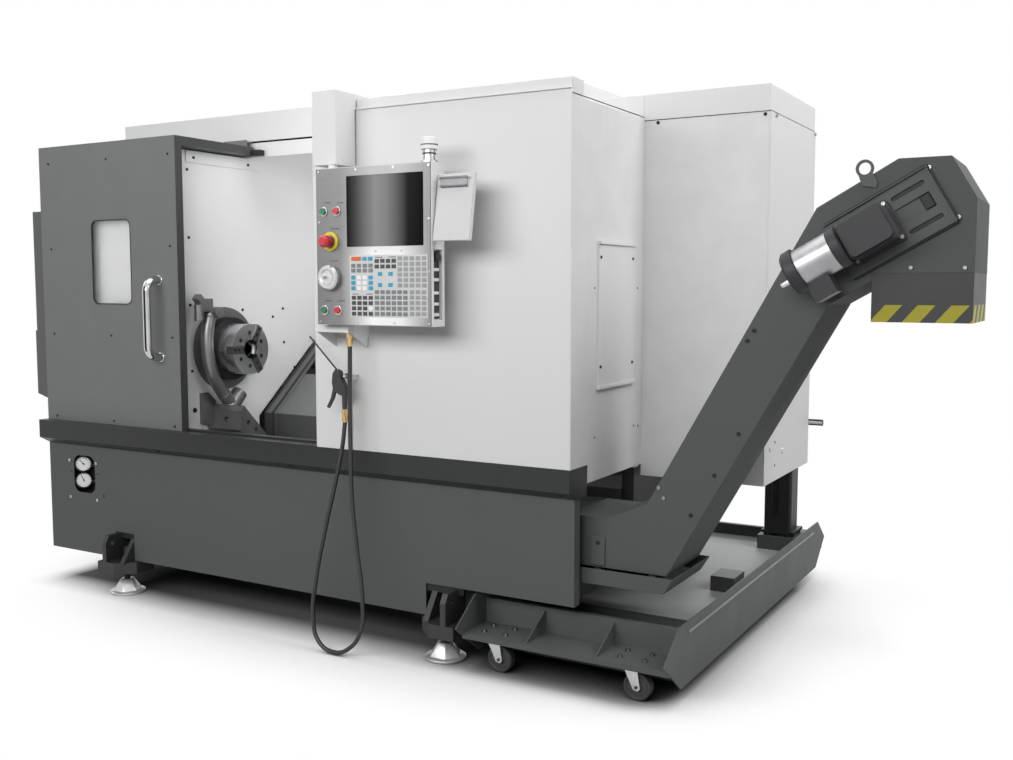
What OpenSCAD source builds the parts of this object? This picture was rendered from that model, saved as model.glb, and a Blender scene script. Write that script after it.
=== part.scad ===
// Slant-bed turning lathe with sliding door, control pendant, coolant tank and chip conveyor.
// Working datum: x = 0 at the middle of the base, y = 0 at the skirt's front, z = 0 at the floor.

/* [Base] */
// Width of the base skirt
base_w = 2558; // [2400:1:2800]
// Depth from the skirt's front to the rear panel
base_d = 1090; // [1080:1:1300]
// Height of the skirt's bottom edge
skirt_low = 140; // [120:1:170]
// Height of the skirt's top edge
skirt_top = 602; // [590:1:612]
// Height of the base casting's underside
base_low = 253; // [250:1:270]
// Thickness of the folded sheet
sheet = 3; // [2:0.5:4]
// Depth of the folded returns of the skirt
skirt_return = 40; // [25:1:60]
// Distance of the levelling feet from the middle of the base
foot_x = 799; // [700:1:820]
// Sideways shift of both feet rows
foot_shift = -17; // [-30:1:30]
// Distance of the front feet behind the skirt
foot_front = 6; // [0:1:20]
// Width of a foot bracket
bracket_w = 166; // [140:1:180]
// Height of a foot bracket's lip
bracket_lip = 48; // [40:1:49]
// Height of a foot bracket's underside
bracket_low = 90; // [85:1:110]
// Height of the top of a foot bracket
bracket_top = 246; // [220:1:252]
// Thickness of a foot bracket's ribs
bracket_rib = 22; // [15:1:30]
// Diameter of a levelling pad
pad_d = 142; // [110:1:160]
// Height of a levelling pad
pad_h = 74; // [50:1:80]
// Diameter of a levelling screw
stud_d = 24; // [16:1:30]

/* [Rail and door] */
// Height of the rail's top
rail_top = 706; // [690:1:720]
// Forward reach of the rail
rail_reach = 50; // [40:1:60]
// Depth of the rail behind the skirt's front
rail_back = 75; // [70:1:100]
// Width of the door
door_w = 817; // [780:1:830]
// Thickness of the door pan
door_t = 36; // [30:1:40]
// Height of the door's bottom edge
door_low = 703; // [700:1:705]
// Height of the door's top
door_top = 1866; // [1800:1:1900]
// Thickness of the door's top panel
door_lid = 34; // [25:1:36]
// Depth of the door's top panel
door_reach = 455; // [400:1:470]
// Width of the door window
window_w = 231; // [200:1:300]
// Height of the door window
window_h = 342; // [300:1:400]
// Left edge of the window from the door's left edge
window_x = 319; // [280:1:400]
// Bottom edge of the window
window_z = 1207; // [1150:1:1250]
// Corner radius of the window
window_r = 28; // [15:1:40]
// Margin of the glass round the window
glass_lap = 18; // [10:1:30]
// Thickness of the glass
glass_t = 8; // [5:1:10]
// Handle distance from the door's right edge
handle_in = 107; // [80:1:140]
// Height of the handle's lower foot
handle_z = 996; // [950:1:1050]
// Height between the handle's feet
handle_h = 308; // [250:1:350]
// Distance from the door to the handle's axis
handle_out = 66; // [60:1:80]
// Diameter of the handle's tube
handle_d = 32; // [26:1:36]

/* [Enclosure] */
// Step of the right side panel beyond the base
side_step = 9; // [3:1:15]
// Width of the white front panel
panel_w = 1011; // [950:1:1050]
// Forward reach of the front panel
panel_reach = 50; // [45:1:52]
// Width of the column at the panel's left end
column_w = 157; // [140:1:180]
// Step of the column before the panel
column_step = 8; // [5:1:12]
// Height of the front panel's top
panel_top = 1881; // [1870:1:1890]
// Height of the cap on the front panel
cap_h = 31; // [20:1:40]
// Depth of the cap
cap_d = 80; // [60:1:100]
// Height of the side panel's top
side_top = 1858; // [1850:1:1862]
// Height of the side panel's bottom
side_low = 646; // [640:1:660]
// Height of the underside of the roof header
header_low = 1826; // [1820:1:1829]
// Height of the top of the roof header
header_top = 2012; // [1990:1:2040]
// Right end of the roof header from the side panel
header_in = 253; // [200:1:300]
// Distance of the spindle wall from the base's left end
wall_in = 751; // [740:1:790]
// Distance of the fixed front behind the door
wall_front = 41; // [41:1:44]
// Left reach of the end cover
cover_reach = 122; // [100:1:140]
// Step between the two halves of the end cover
cover_step = 9; // [5:1:15]
// Height of the end cover's bottom
cover_low = 773; // [760:1:790]
// Height of the end cover's step
cover_mid = 1085; // [1050:1:1120]
// Height of the end cover's top
cover_top = 1603; // [1580:1:1620]
// Front of the end cover behind the skirt
cover_front = 42; // [41:1:60]
// Depth of the end cover
cover_d = 700; // [600:1:800]
// Front edge of the access cover
access_y = 135; // [120:1:150]
// Width of the access cover
access_w = 292; // [250:1:320]
// Bottom edge of the access cover
access_z = 945; // [900:1:960]
// Height of the access cover
access_h = 480; // [440:1:500]
// Thickness of the access cover
access_t = 8; // [6:1:12]

/* [Control cabinet] */
// Width of the cabinet
cabinet_w = 443; // [400:1:460]
// Front of the cabinet behind the skirt
cabinet_y = 513; // [505:1:530]
// Depth of the cabinet
cabinet_d = 580; // [560:1:620]
// Height of the cabinet's underside
cabinet_low = 605; // [600:1:620]
// Height of the cabinet's lid joint
lid_low = 1853; // [1830:1:1870]
// Height of the cabinet's lid
lid_h = 88; // [70:1:100]
// Thickness of the cabinet door
cab_door_t = 4; // [3:0.5:6]
// Diameter of the rear rod
rod_d = 24; // [18:1:28]
// Reach of the rear rod past the cabinet
rod_reach = 55; // [40:1:60]
// Height of the rear rod
rod_z = 760; // [740:1:780]

/* [Spindle] */
// Height of the spindle axis
spindle_z = 1018; // [1005:1:1030]
// Distance of the spindle axis behind the skirt
spindle_y = 306; // [295:1:315]
// Diameter of the chuck
chuck_d = 210; // [190:1:225]
// Length of the chuck
chuck_l = 100; // [90:1:110]
// Distance from the wall to the chuck's face
chuck_out = 150; // [140:1:160]
// Diameter of the bore for bar stock
bore_d = 52; // [40:1:56]
// Diameter of the black nose flange
nose_d = 262; // [250:1:275]
// Diameter of the headstock's nose ring
ring_d = 345; // [320:1:360]
// Thickness of the nose ring before the wall
ring_t = 8; // [6:1:12]
// Diameter of the spindle's bearing seats
seat_d = 170; // [150:1:180]
// Diameter of the spindle between its seats
shaft_d = 140; // [120:1:148]
// Length of a bearing seat
seat_l = 70; // [50:1:90]
// Length of the headstock
head_l = 600; // [550:1:640]
// Width of the headstock
head_w = 400; // [360:1:440]
// Height of the headstock above the axis
head_h = 210; // [190:1:230]
// Radial clearance of a running fit
run_gap = 0.05; // [0.01:0.01:0.1]
// Gap between pieces that pass each other
pass_gap = 0.4; // [0.3:0.1:0.8]
// Width of a chuck jaw
jaw_w = 32; // [26:1:36]
// Depth of a jaw in the chuck
jaw_deep = 30; // [24:1:36]
// Jaw height before the chuck's face
jaw_proud = 4; // [2:1:8]
// Inner end of a jaw from the axis
jaw_in = 33; // [31:1:40]
// Outer end of a jaw past the chuck's edge
jaw_past = 4; // [2:1:6]
// Spacing of the two bolt holes in a jaw
jaw_pitch = 25; // [20:1:30]
// Diameter of the bolt holes in a jaw
jaw_hole_d = 12; // [10:1:14]

/* [Bed and turret] */
// Slope of the bed
slope = 40; // [38:0.5:42]
// Distance of the bed cover's fold behind the skirt
bed_y = 525; // [515:1:535]
// Height of the bed cover's fold
bed_z = 722; // [712:1:732]
// Length of the bed cover up the slope
cover_l = 250; // [230:1:260]
// Width of the dark strip at the cover's end
strip_w = 60; // [40:1:70]
// Height of the dark strip
strip_t = 14; // [8:1:18]
// Length of the dark strip up the slope
strip_l = 540; // [500:1:560]
// Depth of the rail seats below the cover
bed_drop = 40; // [36:1:45]
// Size of a guide rail
guide = 32; // [28:1:34]
// Lower rail's place up the slope
guide_low = 340; // [330:1:350]
// Upper rail's place up the slope
guide_high = 610; // [600:1:620]
// Length of the saddle along the bed
saddle_l = 330; // [300:1:360]
// Thickness of the saddle
saddle_t = 60; // [55:1:70]
// Left end of the turret disc at rest
turret_x = 560; // [540:1:580]
// Diameter of the turret disc
turret_d = 380; // [340:1:400]
// Thickness of the turret disc
turret_t = 95; // [80:1:110]
// Stations of the turret
stations = 12; // [8:2:12]
// Reach of a tool holder past the disc
tool_reach = 34; // [25:1:40]
// Place of the turret axis up the slope
turret_s = 500; // [490:1:510]
// Length of the turret housing
turret_body = 330; // [300:1:350]
// Width of the turret slide across the bed
turret_w = 240; // [200:1:260]

/* [Tool setter] */
// Distance of the arm before the wall
setter_out = 66; // [60:1:75]
// Diameter of the arm
arm_d = 50; // [40:1:54]
// Radius of the arm's bend
arm_r = 310; // [290:1:320]
// Length of the arm's straight part
arm_l = 63; // [60:1:70]
// Direction of the straight part
arm_dir = 134; // [130:1:138]
// End of the bend
arm_end = 68; // [64:1:72]
// Distance of the arm's pivot behind the skirt
hub_y = 275; // [265:1:285]
// Height of the arm's pivot
hub_z = 785; // [775:1:795]
// Diameter of the pivot hub
hub_d = 66; // [56:1:70]

/* [Pendant] */
// Left side of the pendant from the front panel's left edge
pendant_x = 134; // [120:1:150]
// Width of the pendant
pendant_w = 465; // [440:1:480]
// Height of the pendant
pendant_h = 517; // [500:1:530]
// Depth of the pendant
pendant_d = 69; // [62:1:75]
// Height of the pendant's underside
pendant_z = 1151; // [1145:1:1160]
// Front of the pendant's case before the skirt
pendant_front = 200; // [195:1:205]
// Thickness of the steel face
face_t = 3; // [2:0.5:4]
// Width of the screen
screen_w = 305; // [290:1:310]
// Height of the screen
screen_h = 230; // [220:1:235]
// Left edge of the screen from the pendant's left side
screen_x = 129; // [125:1:135]
// Bottom edge of the screen above the pendant's underside
screen_z = 257; // [250:1:262]
// Middle of the button column from the pendant's left side
column_x = 62; // [58:1:66]
// Half the spacing of the paired buttons
button_half = 28; // [24:1:30]
// Height of the upper buttons above the underside
button_high = 375; // [370:1:380]
// Height of the lower buttons above the underside
button_low = 49; // [45:1:55]
// Diameter of a button
button_d = 22; // [18:1:24]
// Height of a button
button_h = 11; // [8:1:14]
// Travel of a button
button_travel = 4; // [3:0.5:5]
// Height of the stop button above the underside
stop_z = 276; // [270:1:282]
// Diameter of the stop button's head
stop_d = 41; // [36:1:44]
// Forward reach of the stop button
stop_reach = 48; // [44:1:52]
// Diameter of the stop button's collar
collar_d = 62; // [56:1:66]
// Travel of the stop button
stop_travel = 6; // [5:0.5:8]
// Height of the jog wheel above the underside
jog_z = 157; // [150:1:164]
// Diameter of the jog wheel
jog_d = 83; // [76:1:88]
// Reach of the jog wheel
jog_reach = 28; // [22:1:32]
// Width of the post above the pendant
post_w = 98; // [90:1:110]
// Front of the post before the skirt
post_front = 163; // [158:1:170]
// Height of the post's underside above the pendant
post_gap = 17; // [12:1:22]
// Height of the post's top
post_top = 1929; // [1920:1:1940]
// Diameter of the pendant's pivot pins
pivot_d = 20; // [16:1:22]
// Pivot from the pendant's left side
pivot_x = 29; // [26:1:34]
// Pivot from the pendant's back
pivot_in = 16; // [13:1:18]
// Depth of a pivot pin in the pendant
pivot_deep = 24; // [18:1:30]
// Height of the bracket's shelf
shelf_h = 24; // [20:1:28]
// Width of the bracket's shelf
shelf_w = 142; // [142:1:150]
// Drop of the bracket's gussets
gusset_h = 54; // [45:1:60]
// Diameter of the beacon
beacon_d = 54; // [48:1:58]
// Height of the beacon
beacon_h = 80; // [70:1:90]
// Width of the clipboard
clip_w = 130; // [120:1:140]
// Height of the clipboard
clip_h = 206; // [195:1:215]
// Forward lean of the clipboard's lower end
clip_lean = 35; // [25:1:40]

/* [Chip conveyor] */
// Front of the conveyor behind the skirt
conv_y = 90; // [86:1:94]
// Width of the conveyor
conv_w = 295; // [280:1:300]
// Height of the conveyor's underside
conv_low = 372; // [366:1:380]
// Height of the conveyor's flat top
conv_top = 536; // [530:1:545]
// Angle of the incline
conv_angle = 60.8; // [59:0.1:62]
// Foot of the incline from the side panel
conv_foot = 268; // [260:1:276]
// Level width of the incline
conv_band = 192; // [185:1:198]
// Height where the head begins at the back of the incline
head_z = 1501; // [1490:1:1512]
// Angle of the head
head_angle = 30; // [28:0.5:32]
// Height of the head's top
hood_top = 1627; // [1615:1:1640]
// Height of the hood's lower edge
hood_low = 1316; // [1305:1:1325]
// Left end of the chute from the side panel
chute_x = 863; // [855:1:870]
// Right end of the hood from the side panel
hood_x = 1127; // [1115:1:1140]
// Height of the chute
chute_h = 136; // [120:1:150]
// Thickness of the conveyor's sheet
conv_t = 4; // [3:0.5:5]
// Thickness of the hinged belt
belt_t = 12; // [8:1:16]
// Length of the motor's slide plate
slide_l = 310; // [300:1:320]
// Width of the motor's slide plate
slide_w = 172; // [165:1:180]
// Diameter of the motor
motor_d = 110; // [100:1:116]
// Outer diameter of the lifting eye
eye_d = 49; // [44:1:54]
// Hole of the lifting eye
eye_hole = 33; // [28:1:36]
// Height of the drip tray
tray_h = 52; // [45:1:54]

/* [Coolant tank] */
// Left end of the tank from the base's middle
tank_x = 905; // [900:1:920]
// Width of the tank
tank_w = 732; // [700:1:760]
// Front wall of the tank behind the skirt
tank_y = 70; // [64:1:76]
// Depth of the tank between its walls
tank_d = 1550; // [1500:1:1620]
// Height of the tank's underside
tank_low = 46; // [42:1:50]
// Height of the tank's walls
tank_top = 214; // [205:1:220]
// Height of the tank's end plates
plate_top = 245; // [238:1:248]
// Reach of a caster shelf past the tank's wall
shelf_reach = 150; // [140:1:160]
// Height of a caster shelf's top
shelf_top = 131; // [128:1:136]
// Reach of the end plate's nose past the tank's wall
nose_reach = 195; // [180:1:200]
// Height of the end plate's nose
nose_z = 156; // [150:1:162]
// Diameter of a caster wheel
wheel_d = 91; // [84:1:94]
// Width of a caster wheel
wheel_w = 32; // [26:1:36]
// Left caster's place from the tank's left end
caster_in = 113; // [100:1:120]
// Spacing of the casters
caster_pitch = 492; // [470:1:500]

/* [Air line] */
// Diameter of the hose
hose_d = 15; // [12:1:16]

/* [Hidden] */
$fn = 64;
half = base_w / 2;
left = -half;
side_x = half + side_step;
panel_x = side_x - panel_w;
door_x = left - 1;
door_end = door_x + door_w;
track_z = door_top + 24;
door_travel = panel_x - door_end - 1;
wall_x = left + wall_in;
chuck_face = wall_x + chuck_out;
chuck_back = chuck_face - chuck_l;
head_end = wall_x - head_l;
pend_x = panel_x + pendant_x;
pend_back = -pendant_front + pendant_d;
pend_top = pendant_z + pendant_h;
face_front = -pendant_front - face_t;
pivot_px = pend_x + pivot_x;
pivot_py = pend_back - pivot_in;
post_low = pend_top + post_gap;
post_x = pend_x - 43;
shelf_low = pendant_z - shelf_h - 3;
column_front = -panel_reach - column_step;
stop_front = face_front - stop_reach;
tank_end = tank_x + tank_w;
tank_back = tank_y + tank_d;
cab_x = side_x;
cab_end = cab_x + cabinet_w;
cab_back = cabinet_y + cabinet_d;
conv_back = conv_y + conv_w;
hood_end = side_x + hood_x;
notch_w = bracket_w - 55;
foot_xs = [foot_shift - foot_x, foot_shift + foot_x];
foot_ys = [foot_front, base_d - 60];
caster_xs = [tank_x + caster_in, tank_x + caster_in + caster_pitch];
caster_ys = [tank_y - 83, tank_back + 83];
axle_z = wheel_d / 2;

// Origin of the part: middle of its box on the floor
frame_x = (left - cover_reach + hood_end) / 2;
frame_y = (stop_front + tank_back + nose_reach) / 2;

white = [0.86, 0.86, 0.86];
graphite = [0.33, 0.34, 0.34];
black = [0.12, 0.12, 0.13];
zinc = [0.78, 0.79, 0.8];
steel = [0.62, 0.63, 0.65];
iron = [0.36, 0.37, 0.38];
brass = [0.78, 0.62, 0.3];
glass = [0.85, 0.88, 0.9, 0.4];

// Shapes that repeat

module to_frame() {
    translate([-frame_x, -frame_y, 0]) children();
}

// Box between two corners
module block(low, high) {
    translate(low) cube(high - low);
}

// Outline in x and z, drawn out along y
module along_y(y0, y1) {
    translate([0, y1, 0]) rotate([90, 0, 0]) linear_extrude(y1 - y0) children();
}

// Outline in y and z, drawn out along x
module along_x(x0, x1) {
    translate([x0, 0, 0]) rotate([90, 0, 90]) linear_extrude(x1 - x0) children();
}

module rod_x(y, z, d, x0, x1) {
    translate([x0, y, z]) rotate([0, 90, 0]) cylinder(d = d, h = x1 - x0);
}

module rod_y(x, z, d, y0, y1) {
    translate([x, y1, z]) rotate([90, 0, 0]) cylinder(d = d, h = y1 - y0);
}

module rod_z(x, y, d, z0, z1) {
    translate([x, y, z0]) cylinder(d = d, h = z1 - z0);
}

module rounded(w, h, r) {
    translate([r, 0]) square([w - 2 * r, h]);
    translate([0, r]) square([w, h - 2 * r]);
    for (x = [r, w - r], y = [r, h - r]) translate([x, y]) circle(r);
}

// Slot with round ends that starts at the origin
module slot(l, w) {
    translate([w / 2, -w / 2]) square([l - w, w]);
    for (x = [w / 2, l - w / 2]) translate([x, 0]) circle(d = w);
}

// Frame of the slanted bed: y runs up the slope and z stands off it
module on_bed() {
    translate([0, bed_y, bed_z]) rotate([slope, 0, 0]) children();
}

// Frame of the conveyor's drive: x runs up the head, y across it and z out of the side plate
module on_head() {
    translate([drive_x, conv_y, drive_z]) rotate([0, -head_angle, 0]) rotate([90, 0, 0]) children();
}

function unit(v) = v / norm(v);
function turn_left(v) = [-v[1], v[0]];
function wrap(list, i) = list[(i + len(list)) % len(list)];

// Moves each side of an outline inwards by t
function inset(list, t) = [for (i = [0 : len(list) - 1])
    let (before = turn_left(unit(list[i] - wrap(list, i - 1))),
         after = turn_left(unit(wrap(list, i + 1) - list[i])))
    list[i] + t * (before + after) / (1 + before * after)];

// Base

// Cast bracket: a lip plate, one upright ear and one leaning rib round the levelling screw
module foot_bracket(x, front) {
    translate([x, front, 0]) mirror([x < 0 ? 0 : 1, 0, 0]) {
        difference() {
            block([-bracket_w / 2, -80, bracket_low], [bracket_w / 2, 70, bracket_low + bracket_lip]);
            rod_z(0, 0, stud_d + 2, bracket_low - 1, bracket_low + bracket_lip + 1);
            translate([bracket_w / 2, 0, bracket_low - 1])
                linear_extrude(bracket_lip + 2) polygon([[1, -81], [-70, -81], [1, -20]]);
        }
        along_x(-notch_w / 2 + 3, -notch_w / 2 + 3 + bracket_rib) difference() {
            polygon([[-80, bracket_low], [70, bracket_low], [70, base_low + 20], [20, base_low + 20],
                [4, bracket_top], [-62, bracket_top], [-80, bracket_top - 30]]);
            translate([-44, bracket_top - 34]) circle(d = 18);
        }
        along_x(notch_w / 2 - 3 - bracket_rib, notch_w / 2 - 3)
            polygon([[-62, bracket_low + bracket_lip - 1], [70, bracket_low + bracket_lip - 1],
                [70, base_low + 20], [30, base_low + 20]]);
        block([-bracket_w / 2, 48, bracket_low], [bracket_w / 2 - 28, 70, base_low + 20]);
    }
}

function on_slope(s, n) = [bed_y + s * cos(slope) - n * sin(slope), bed_z + s * sin(slope) + n * cos(slope)];

// Point on the line n of the slope at a distance behind the bed's fold
function fold(y, n) = on_slope((y + n * sin(slope)) / cos(slope), n);

module base_frame() {
    bed_start = on_slope(-20, -bed_drop);
    bed_end = [base_d - sheet, bed_start[1] + (base_d - sheet - bed_start[0]) * tan(slope)];
    color(iron) {
        // Slanted bed
        along_x(wall_x - 12, half - 40) polygon([[450, base_low], [base_d - sheet, base_low], bed_end,
            bed_start, [bed_start[0], 600], [450, 560]]);
        // Block under the headstock
        block([left + 40, rail_back, base_low], [wall_x - 12, base_d - sheet, spindle_z - head_h - 30]);
        // Cross beams under the chip conveyor
        for (x = [wall_x - 20, half - 160]) block([x, sheet, base_low], [x + 120, 460, conv_low]);
        // Stops that the tank is pushed up to
        for (y = [470, 900]) block([tank_x, y, plate_top], [tank_x + 60, y + 60, base_low + 1]);
        // Guide rails of the saddle
        on_bed() for (s = [guide_low, guide_high])
            along_x(wall_x + 60, half - 80) translate([s, -bed_drop]) guide_outline();
        for (x = foot_xs) {
            foot_bracket(x, foot_ys[0]);
            translate([0, foot_ys[1], 0]) mirror([0, 1, 0]) foot_bracket(x, 0);
        }
        // Beams that carry the front and rear brackets
        for (x = foot_xs) block([x - bracket_w / 2, 60, base_low], [x + bracket_w / 2, 470, base_low + 60]);
    }
}

// Rail section with waisted sides
module guide_outline() {
    w = guide / 2;
    polygon([[-w, -1], [w, -1], [w, guide * 0.35], [w * 0.75, guide * 0.6], [w, guide * 0.8], [w, guide],
        [-w, guide], [-w, guide * 0.8], [-w * 0.75, guide * 0.6], [-w, guide * 0.35]]);
}

gauge_x = left + 222;
gauge_z = 478;

module front_skirt() {
    color(graphite) difference() {
        union() {
            block([left, 0, skirt_low], [half, sheet, skirt_top]);
            for (x = [left, half - sheet]) block([x, 0, skirt_low], [x + sheet, skirt_return, skirt_top]);
            block([left, 0, skirt_top - sheet], [half, skirt_return, skirt_top]);
            for (x = [left + 330, 0, half - 300]) block([x, 0, base_low], [x + 30, 64, skirt_top]);
        }
        block([foot_xs[0] - notch_w / 2, -1, skirt_low - 1], [foot_xs[0] + notch_w / 2, 70, bracket_top + 5]);
        block([foot_xs[1] - notch_w / 2 - 20, -1, skirt_low - 1], [half + 1, 70, base_low]);
        along_y(-1, sheet + 1) translate([gauge_x - 67, gauge_z - 80]) rounded(134, 160, 38);
        rod_y(gauge_x + 120, gauge_z - 84, 14, -1, sheet + 1);
    }
}

// Dial turned towards the operator at the pendant
module gauge_dial(z) {
    translate([gauge_x - 51, 37, z]) rotate([0, 0, 45]) {
        difference() {
            rod_y(0, 0, 68, -12, 12);
            rod_y(0, 0, 60, -13, -9);
        }
        rod_y(0, 0, 7, -11, 0);
        rod_x(0, -6, 16, 20, 44);
    }
    rod_y(gauge_x - 51, z, 20, 37, 70);
}

module pressure_gauges() {
    color(white) {
        for (z = [gauge_z - 35, gauge_z + 37]) gauge_dial(z);
        block([gauge_x - 110, 69, gauge_z - 100], [gauge_x + 84, 73, gauge_z + 100]);
        for (x = [gauge_x - 110, gauge_x + 72])
            block([x, sheet, gauge_z - 100], [x + 12, 70, gauge_z + 100]);
    }
}

module front_rail() {
    color(black) difference() {
        along_x(left + sheet, side_x - sheet) polygon([[-rail_reach, skirt_top + 28], [0, skirt_top],
            [rail_back, skirt_top], [rail_back, rail_top], [-rail_reach, rail_top]]);
        // Groove for the foot of the door, with a flat where the front panel stands
        block([left, -7, rail_top - 18], [panel_x - 1, door_t + 7, rail_top + 1]);
        // Drain slots under the front edge
        for (x = [left + 700, 120, half - 30])
            block([x, -rail_reach + 14, skirt_top], [x + 26, -rail_reach + 30, skirt_top + 36]);
    }
}

module levelling_feet() {
    color(zinc) for (x = foot_xs, y = foot_ys) translate([x, y, 0]) {
        cylinder(d = pad_d, h = 10);
        cylinder(d1 = pad_d - 16, d2 = 56, h = pad_h, $fn = 6);
        cylinder(d = 50, h = pad_h + 8);
        cylinder(d = stud_d, h = bracket_low + bracket_lip + 55);
        translate([0, 0, bracket_low + bracket_lip]) cylinder(d = stud_d + 16, h = 16, $fn = 6);
    }
}

// Enclosure

module left_end_cover() {
    outer = left - cover_reach;
    color(graphite) difference() {
        union() {
            along_y(cover_front, cover_front + cover_d) polygon([[left, cover_low], [left, cover_mid],
                [outer, cover_mid], [outer, cover_low + 33]]);
            block([outer + cover_step, cover_front, cover_mid], [left, cover_front + cover_d, cover_top]);
        }
        block([outer + cover_step + sheet, cover_front + sheet, cover_low + 80],
            [left + 1, cover_front + cover_d - sheet, cover_top - sheet]);
        for (i = [0 : 9]) block([outer - 1, cover_front + 180 + i * 36, 1180],
            [outer + cover_step + sheet + 1, cover_front + 192 + i * 36, 1340]);
    }
}

module spindle_wall() {
    color(white) difference() {
        union() {
            block([wall_x - sheet, wall_front, 600], [wall_x, base_d - sheet, header_low]);
            block([left + sheet, wall_front, rail_top], [wall_x, wall_front + sheet, header_low]);
            block([left + sheet, wall_front, header_low - sheet], [wall_x, base_d - sheet, header_low]);
        }
        rod_x(spindle_y, spindle_z, ring_d + 2, wall_x - 10, wall_x + 1);
        // Room for the bed and the rail under the wall
        along_x(wall_x - 10, wall_x + 1) polygon([[440, 599], [base_d, 599], fold(base_d - bed_y, 1),
            on_slope(-21, 1), [on_slope(-21, 0)[0], 620], [440, 620]]);
        block([wall_x - 10, 0, skirt_top - 9], [wall_x + 1, rail_back + 1, rail_top]);
    }
}

module front_panel() {
    color(white) {
        block([panel_x + column_w - 1, -panel_reach, rail_top], [side_x - sheet, -panel_reach + sheet, panel_top]);
        block([panel_x, column_front, rail_top], [panel_x + column_w, column_front + sheet, panel_top]);
        block([panel_x, column_front, rail_top], [panel_x + sheet, door_t, panel_top]);
        block([panel_x + column_w - sheet, column_front, rail_top],
            [panel_x + column_w, -panel_reach + sheet, panel_top]);
        block([panel_x, column_front, panel_top - sheet], [side_x - sheet, door_t, panel_top]);
        // Cap along the top
        block([post_x + post_w + 4, -panel_reach, panel_top], [side_x, cap_d - panel_reach, panel_top + cap_h]);
        // Peg for the air gun
        rod_y(peg_x, peg_z, peg_d, gun_y - 14, -panel_reach + 1);
    }
}

module right_side_panel() {
    color(white) {
        along_x(side_x - sheet, side_x) polygon([[-panel_reach, rail_top], [rail_back + 3, rail_top],
            [rail_back + 3, side_low], [base_d - sheet, side_low], [base_d - sheet, side_top],
            [-panel_reach, side_top]]);
        block([panel_x + sheet, -panel_reach + sheet, side_top - sheet], [side_x, door_reach, side_top]);
        block([side_x - header_in, door_reach - 1, side_top - sheet], [side_x, base_d - sheet, side_top]);
        // Fold down to the top of the front panel
        block([side_x - sheet, -panel_reach, side_top], [side_x, cap_d - panel_reach, panel_top]);
        // Legs of the wall on the base
        for (y = [460, base_d - 60])
            block([half - 40, y, base_low + 20], [side_x - sheet, y + 40, side_low + 60]);
    }
}

module access_cover() {
    lip = 14;
    color(white) {
        block([side_x, access_y, access_z], [side_x + access_t, access_y + access_w, access_z + access_h]);
        for (z = [access_z, access_z + access_h - 10])
            block([side_x, access_y, z], [side_x + lip, access_y + access_w, z + 10]);
    }
}

module roof_header() {
    right_end = side_x - header_in;
    color(white) difference() {
        block([left + 9, door_reach + 1, header_low], [right_end, base_d, header_top]);
        block([left + 9 + sheet, door_reach + 1 + sheet, header_low - 1],
            [right_end - sheet, base_d - sheet, header_top - sheet]);
        // Track slot for the door's hanger
        block([door_x + 60, door_reach, track_z - 4], [panel_x, door_reach + 2 + sheet, track_z + 4]);
    }
}

module rear_panel() {
    color(white) translate([0, 0, skirt_top]) linear_extrude(header_low - skirt_top) polygon([
        [left, wall_front], [left + sheet, wall_front],
        [left + sheet, base_d - sheet], [side_x - sheet, base_d - sheet], [side_x - sheet, base_d],
        [left, base_d]]);
}

module cabinet_body() {
    color(white) {
        difference() {
            block([cab_x, cabinet_y, cabinet_low], [cab_end, cab_back, lid_low]);
            block([cab_x + sheet, cabinet_y + sheet, cabinet_low + sheet],
                [cab_end + 1, cab_back - sheet, lid_low - sheet]);
        }
        // Mounting plate inside
        block([cab_x + sheet + 20, cabinet_y + 30, cabinet_low + 40],
            [cab_x + sheet + 26, cab_back - 30, lid_low - 60]);
        for (y = [cabinet_y + 60, cab_back - 90], z = [cabinet_low + 80, lid_low - 120])
            block([cab_x + sheet - 1, y, z], [cab_x + sheet + 21, y + 20, z + 20]);
        // Rod along the back
        rod_x(cab_back + rod_d / 2 - 1, rod_z, rod_d, cab_end - 240, cab_end + rod_reach);
    }
}

module cabinet_lid() {
    color(white) difference() {
        block([cab_x, cabinet_y, lid_low], [cab_end, cab_back, lid_low + lid_h]);
        block([cab_x + sheet, cabinet_y + sheet, lid_low - 1],
            [cab_end - sheet, cab_back - sheet, lid_low + lid_h - sheet]);
    }
}

module cabinet_door() {
    near = cab_end + pass_gap;
    color(white) {
        block([near, cabinet_y, cabinet_low], [near + cab_door_t, cab_back - 2, lid_low - 1]);
        // Quarter-turn lock
        rod_x(cabinet_y + 70, cabinet_low + 120, 22, near + cab_door_t - 1, near + cab_door_t + 3);
    }
}

// Spindle

module headstock() {
    color(iron) difference() {
        union() {
            block([head_end, spindle_y - head_w / 2, spindle_z - head_h - 30],
                [wall_x - sheet - 6, spindle_y + head_w / 2, spindle_z + head_h]);
            rod_x(spindle_y, spindle_z, ring_d, wall_x - sheet - 8, wall_x + ring_t);
            // Cooling ribs on the back
            for (i = [0 : 6]) block([head_end + 60 + i * 70, spindle_y + head_w / 2 - 1, spindle_z - 180],
                [head_end + 78 + i * 70, spindle_y + head_w / 2 + 18, spindle_z + 180]);
        }
        rod_x(spindle_y, spindle_z, seat_d + 2 * run_gap, head_end - 1, wall_x + ring_t + 1);
        rod_x(spindle_y, spindle_z, nose_d + 2, wall_x - 6, wall_x + ring_t + 1);
        rod_x(spindle_y, spindle_z, seat_d + 40, head_end + seat_l + 20, wall_x - seat_l - 40);
    }
}

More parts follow.
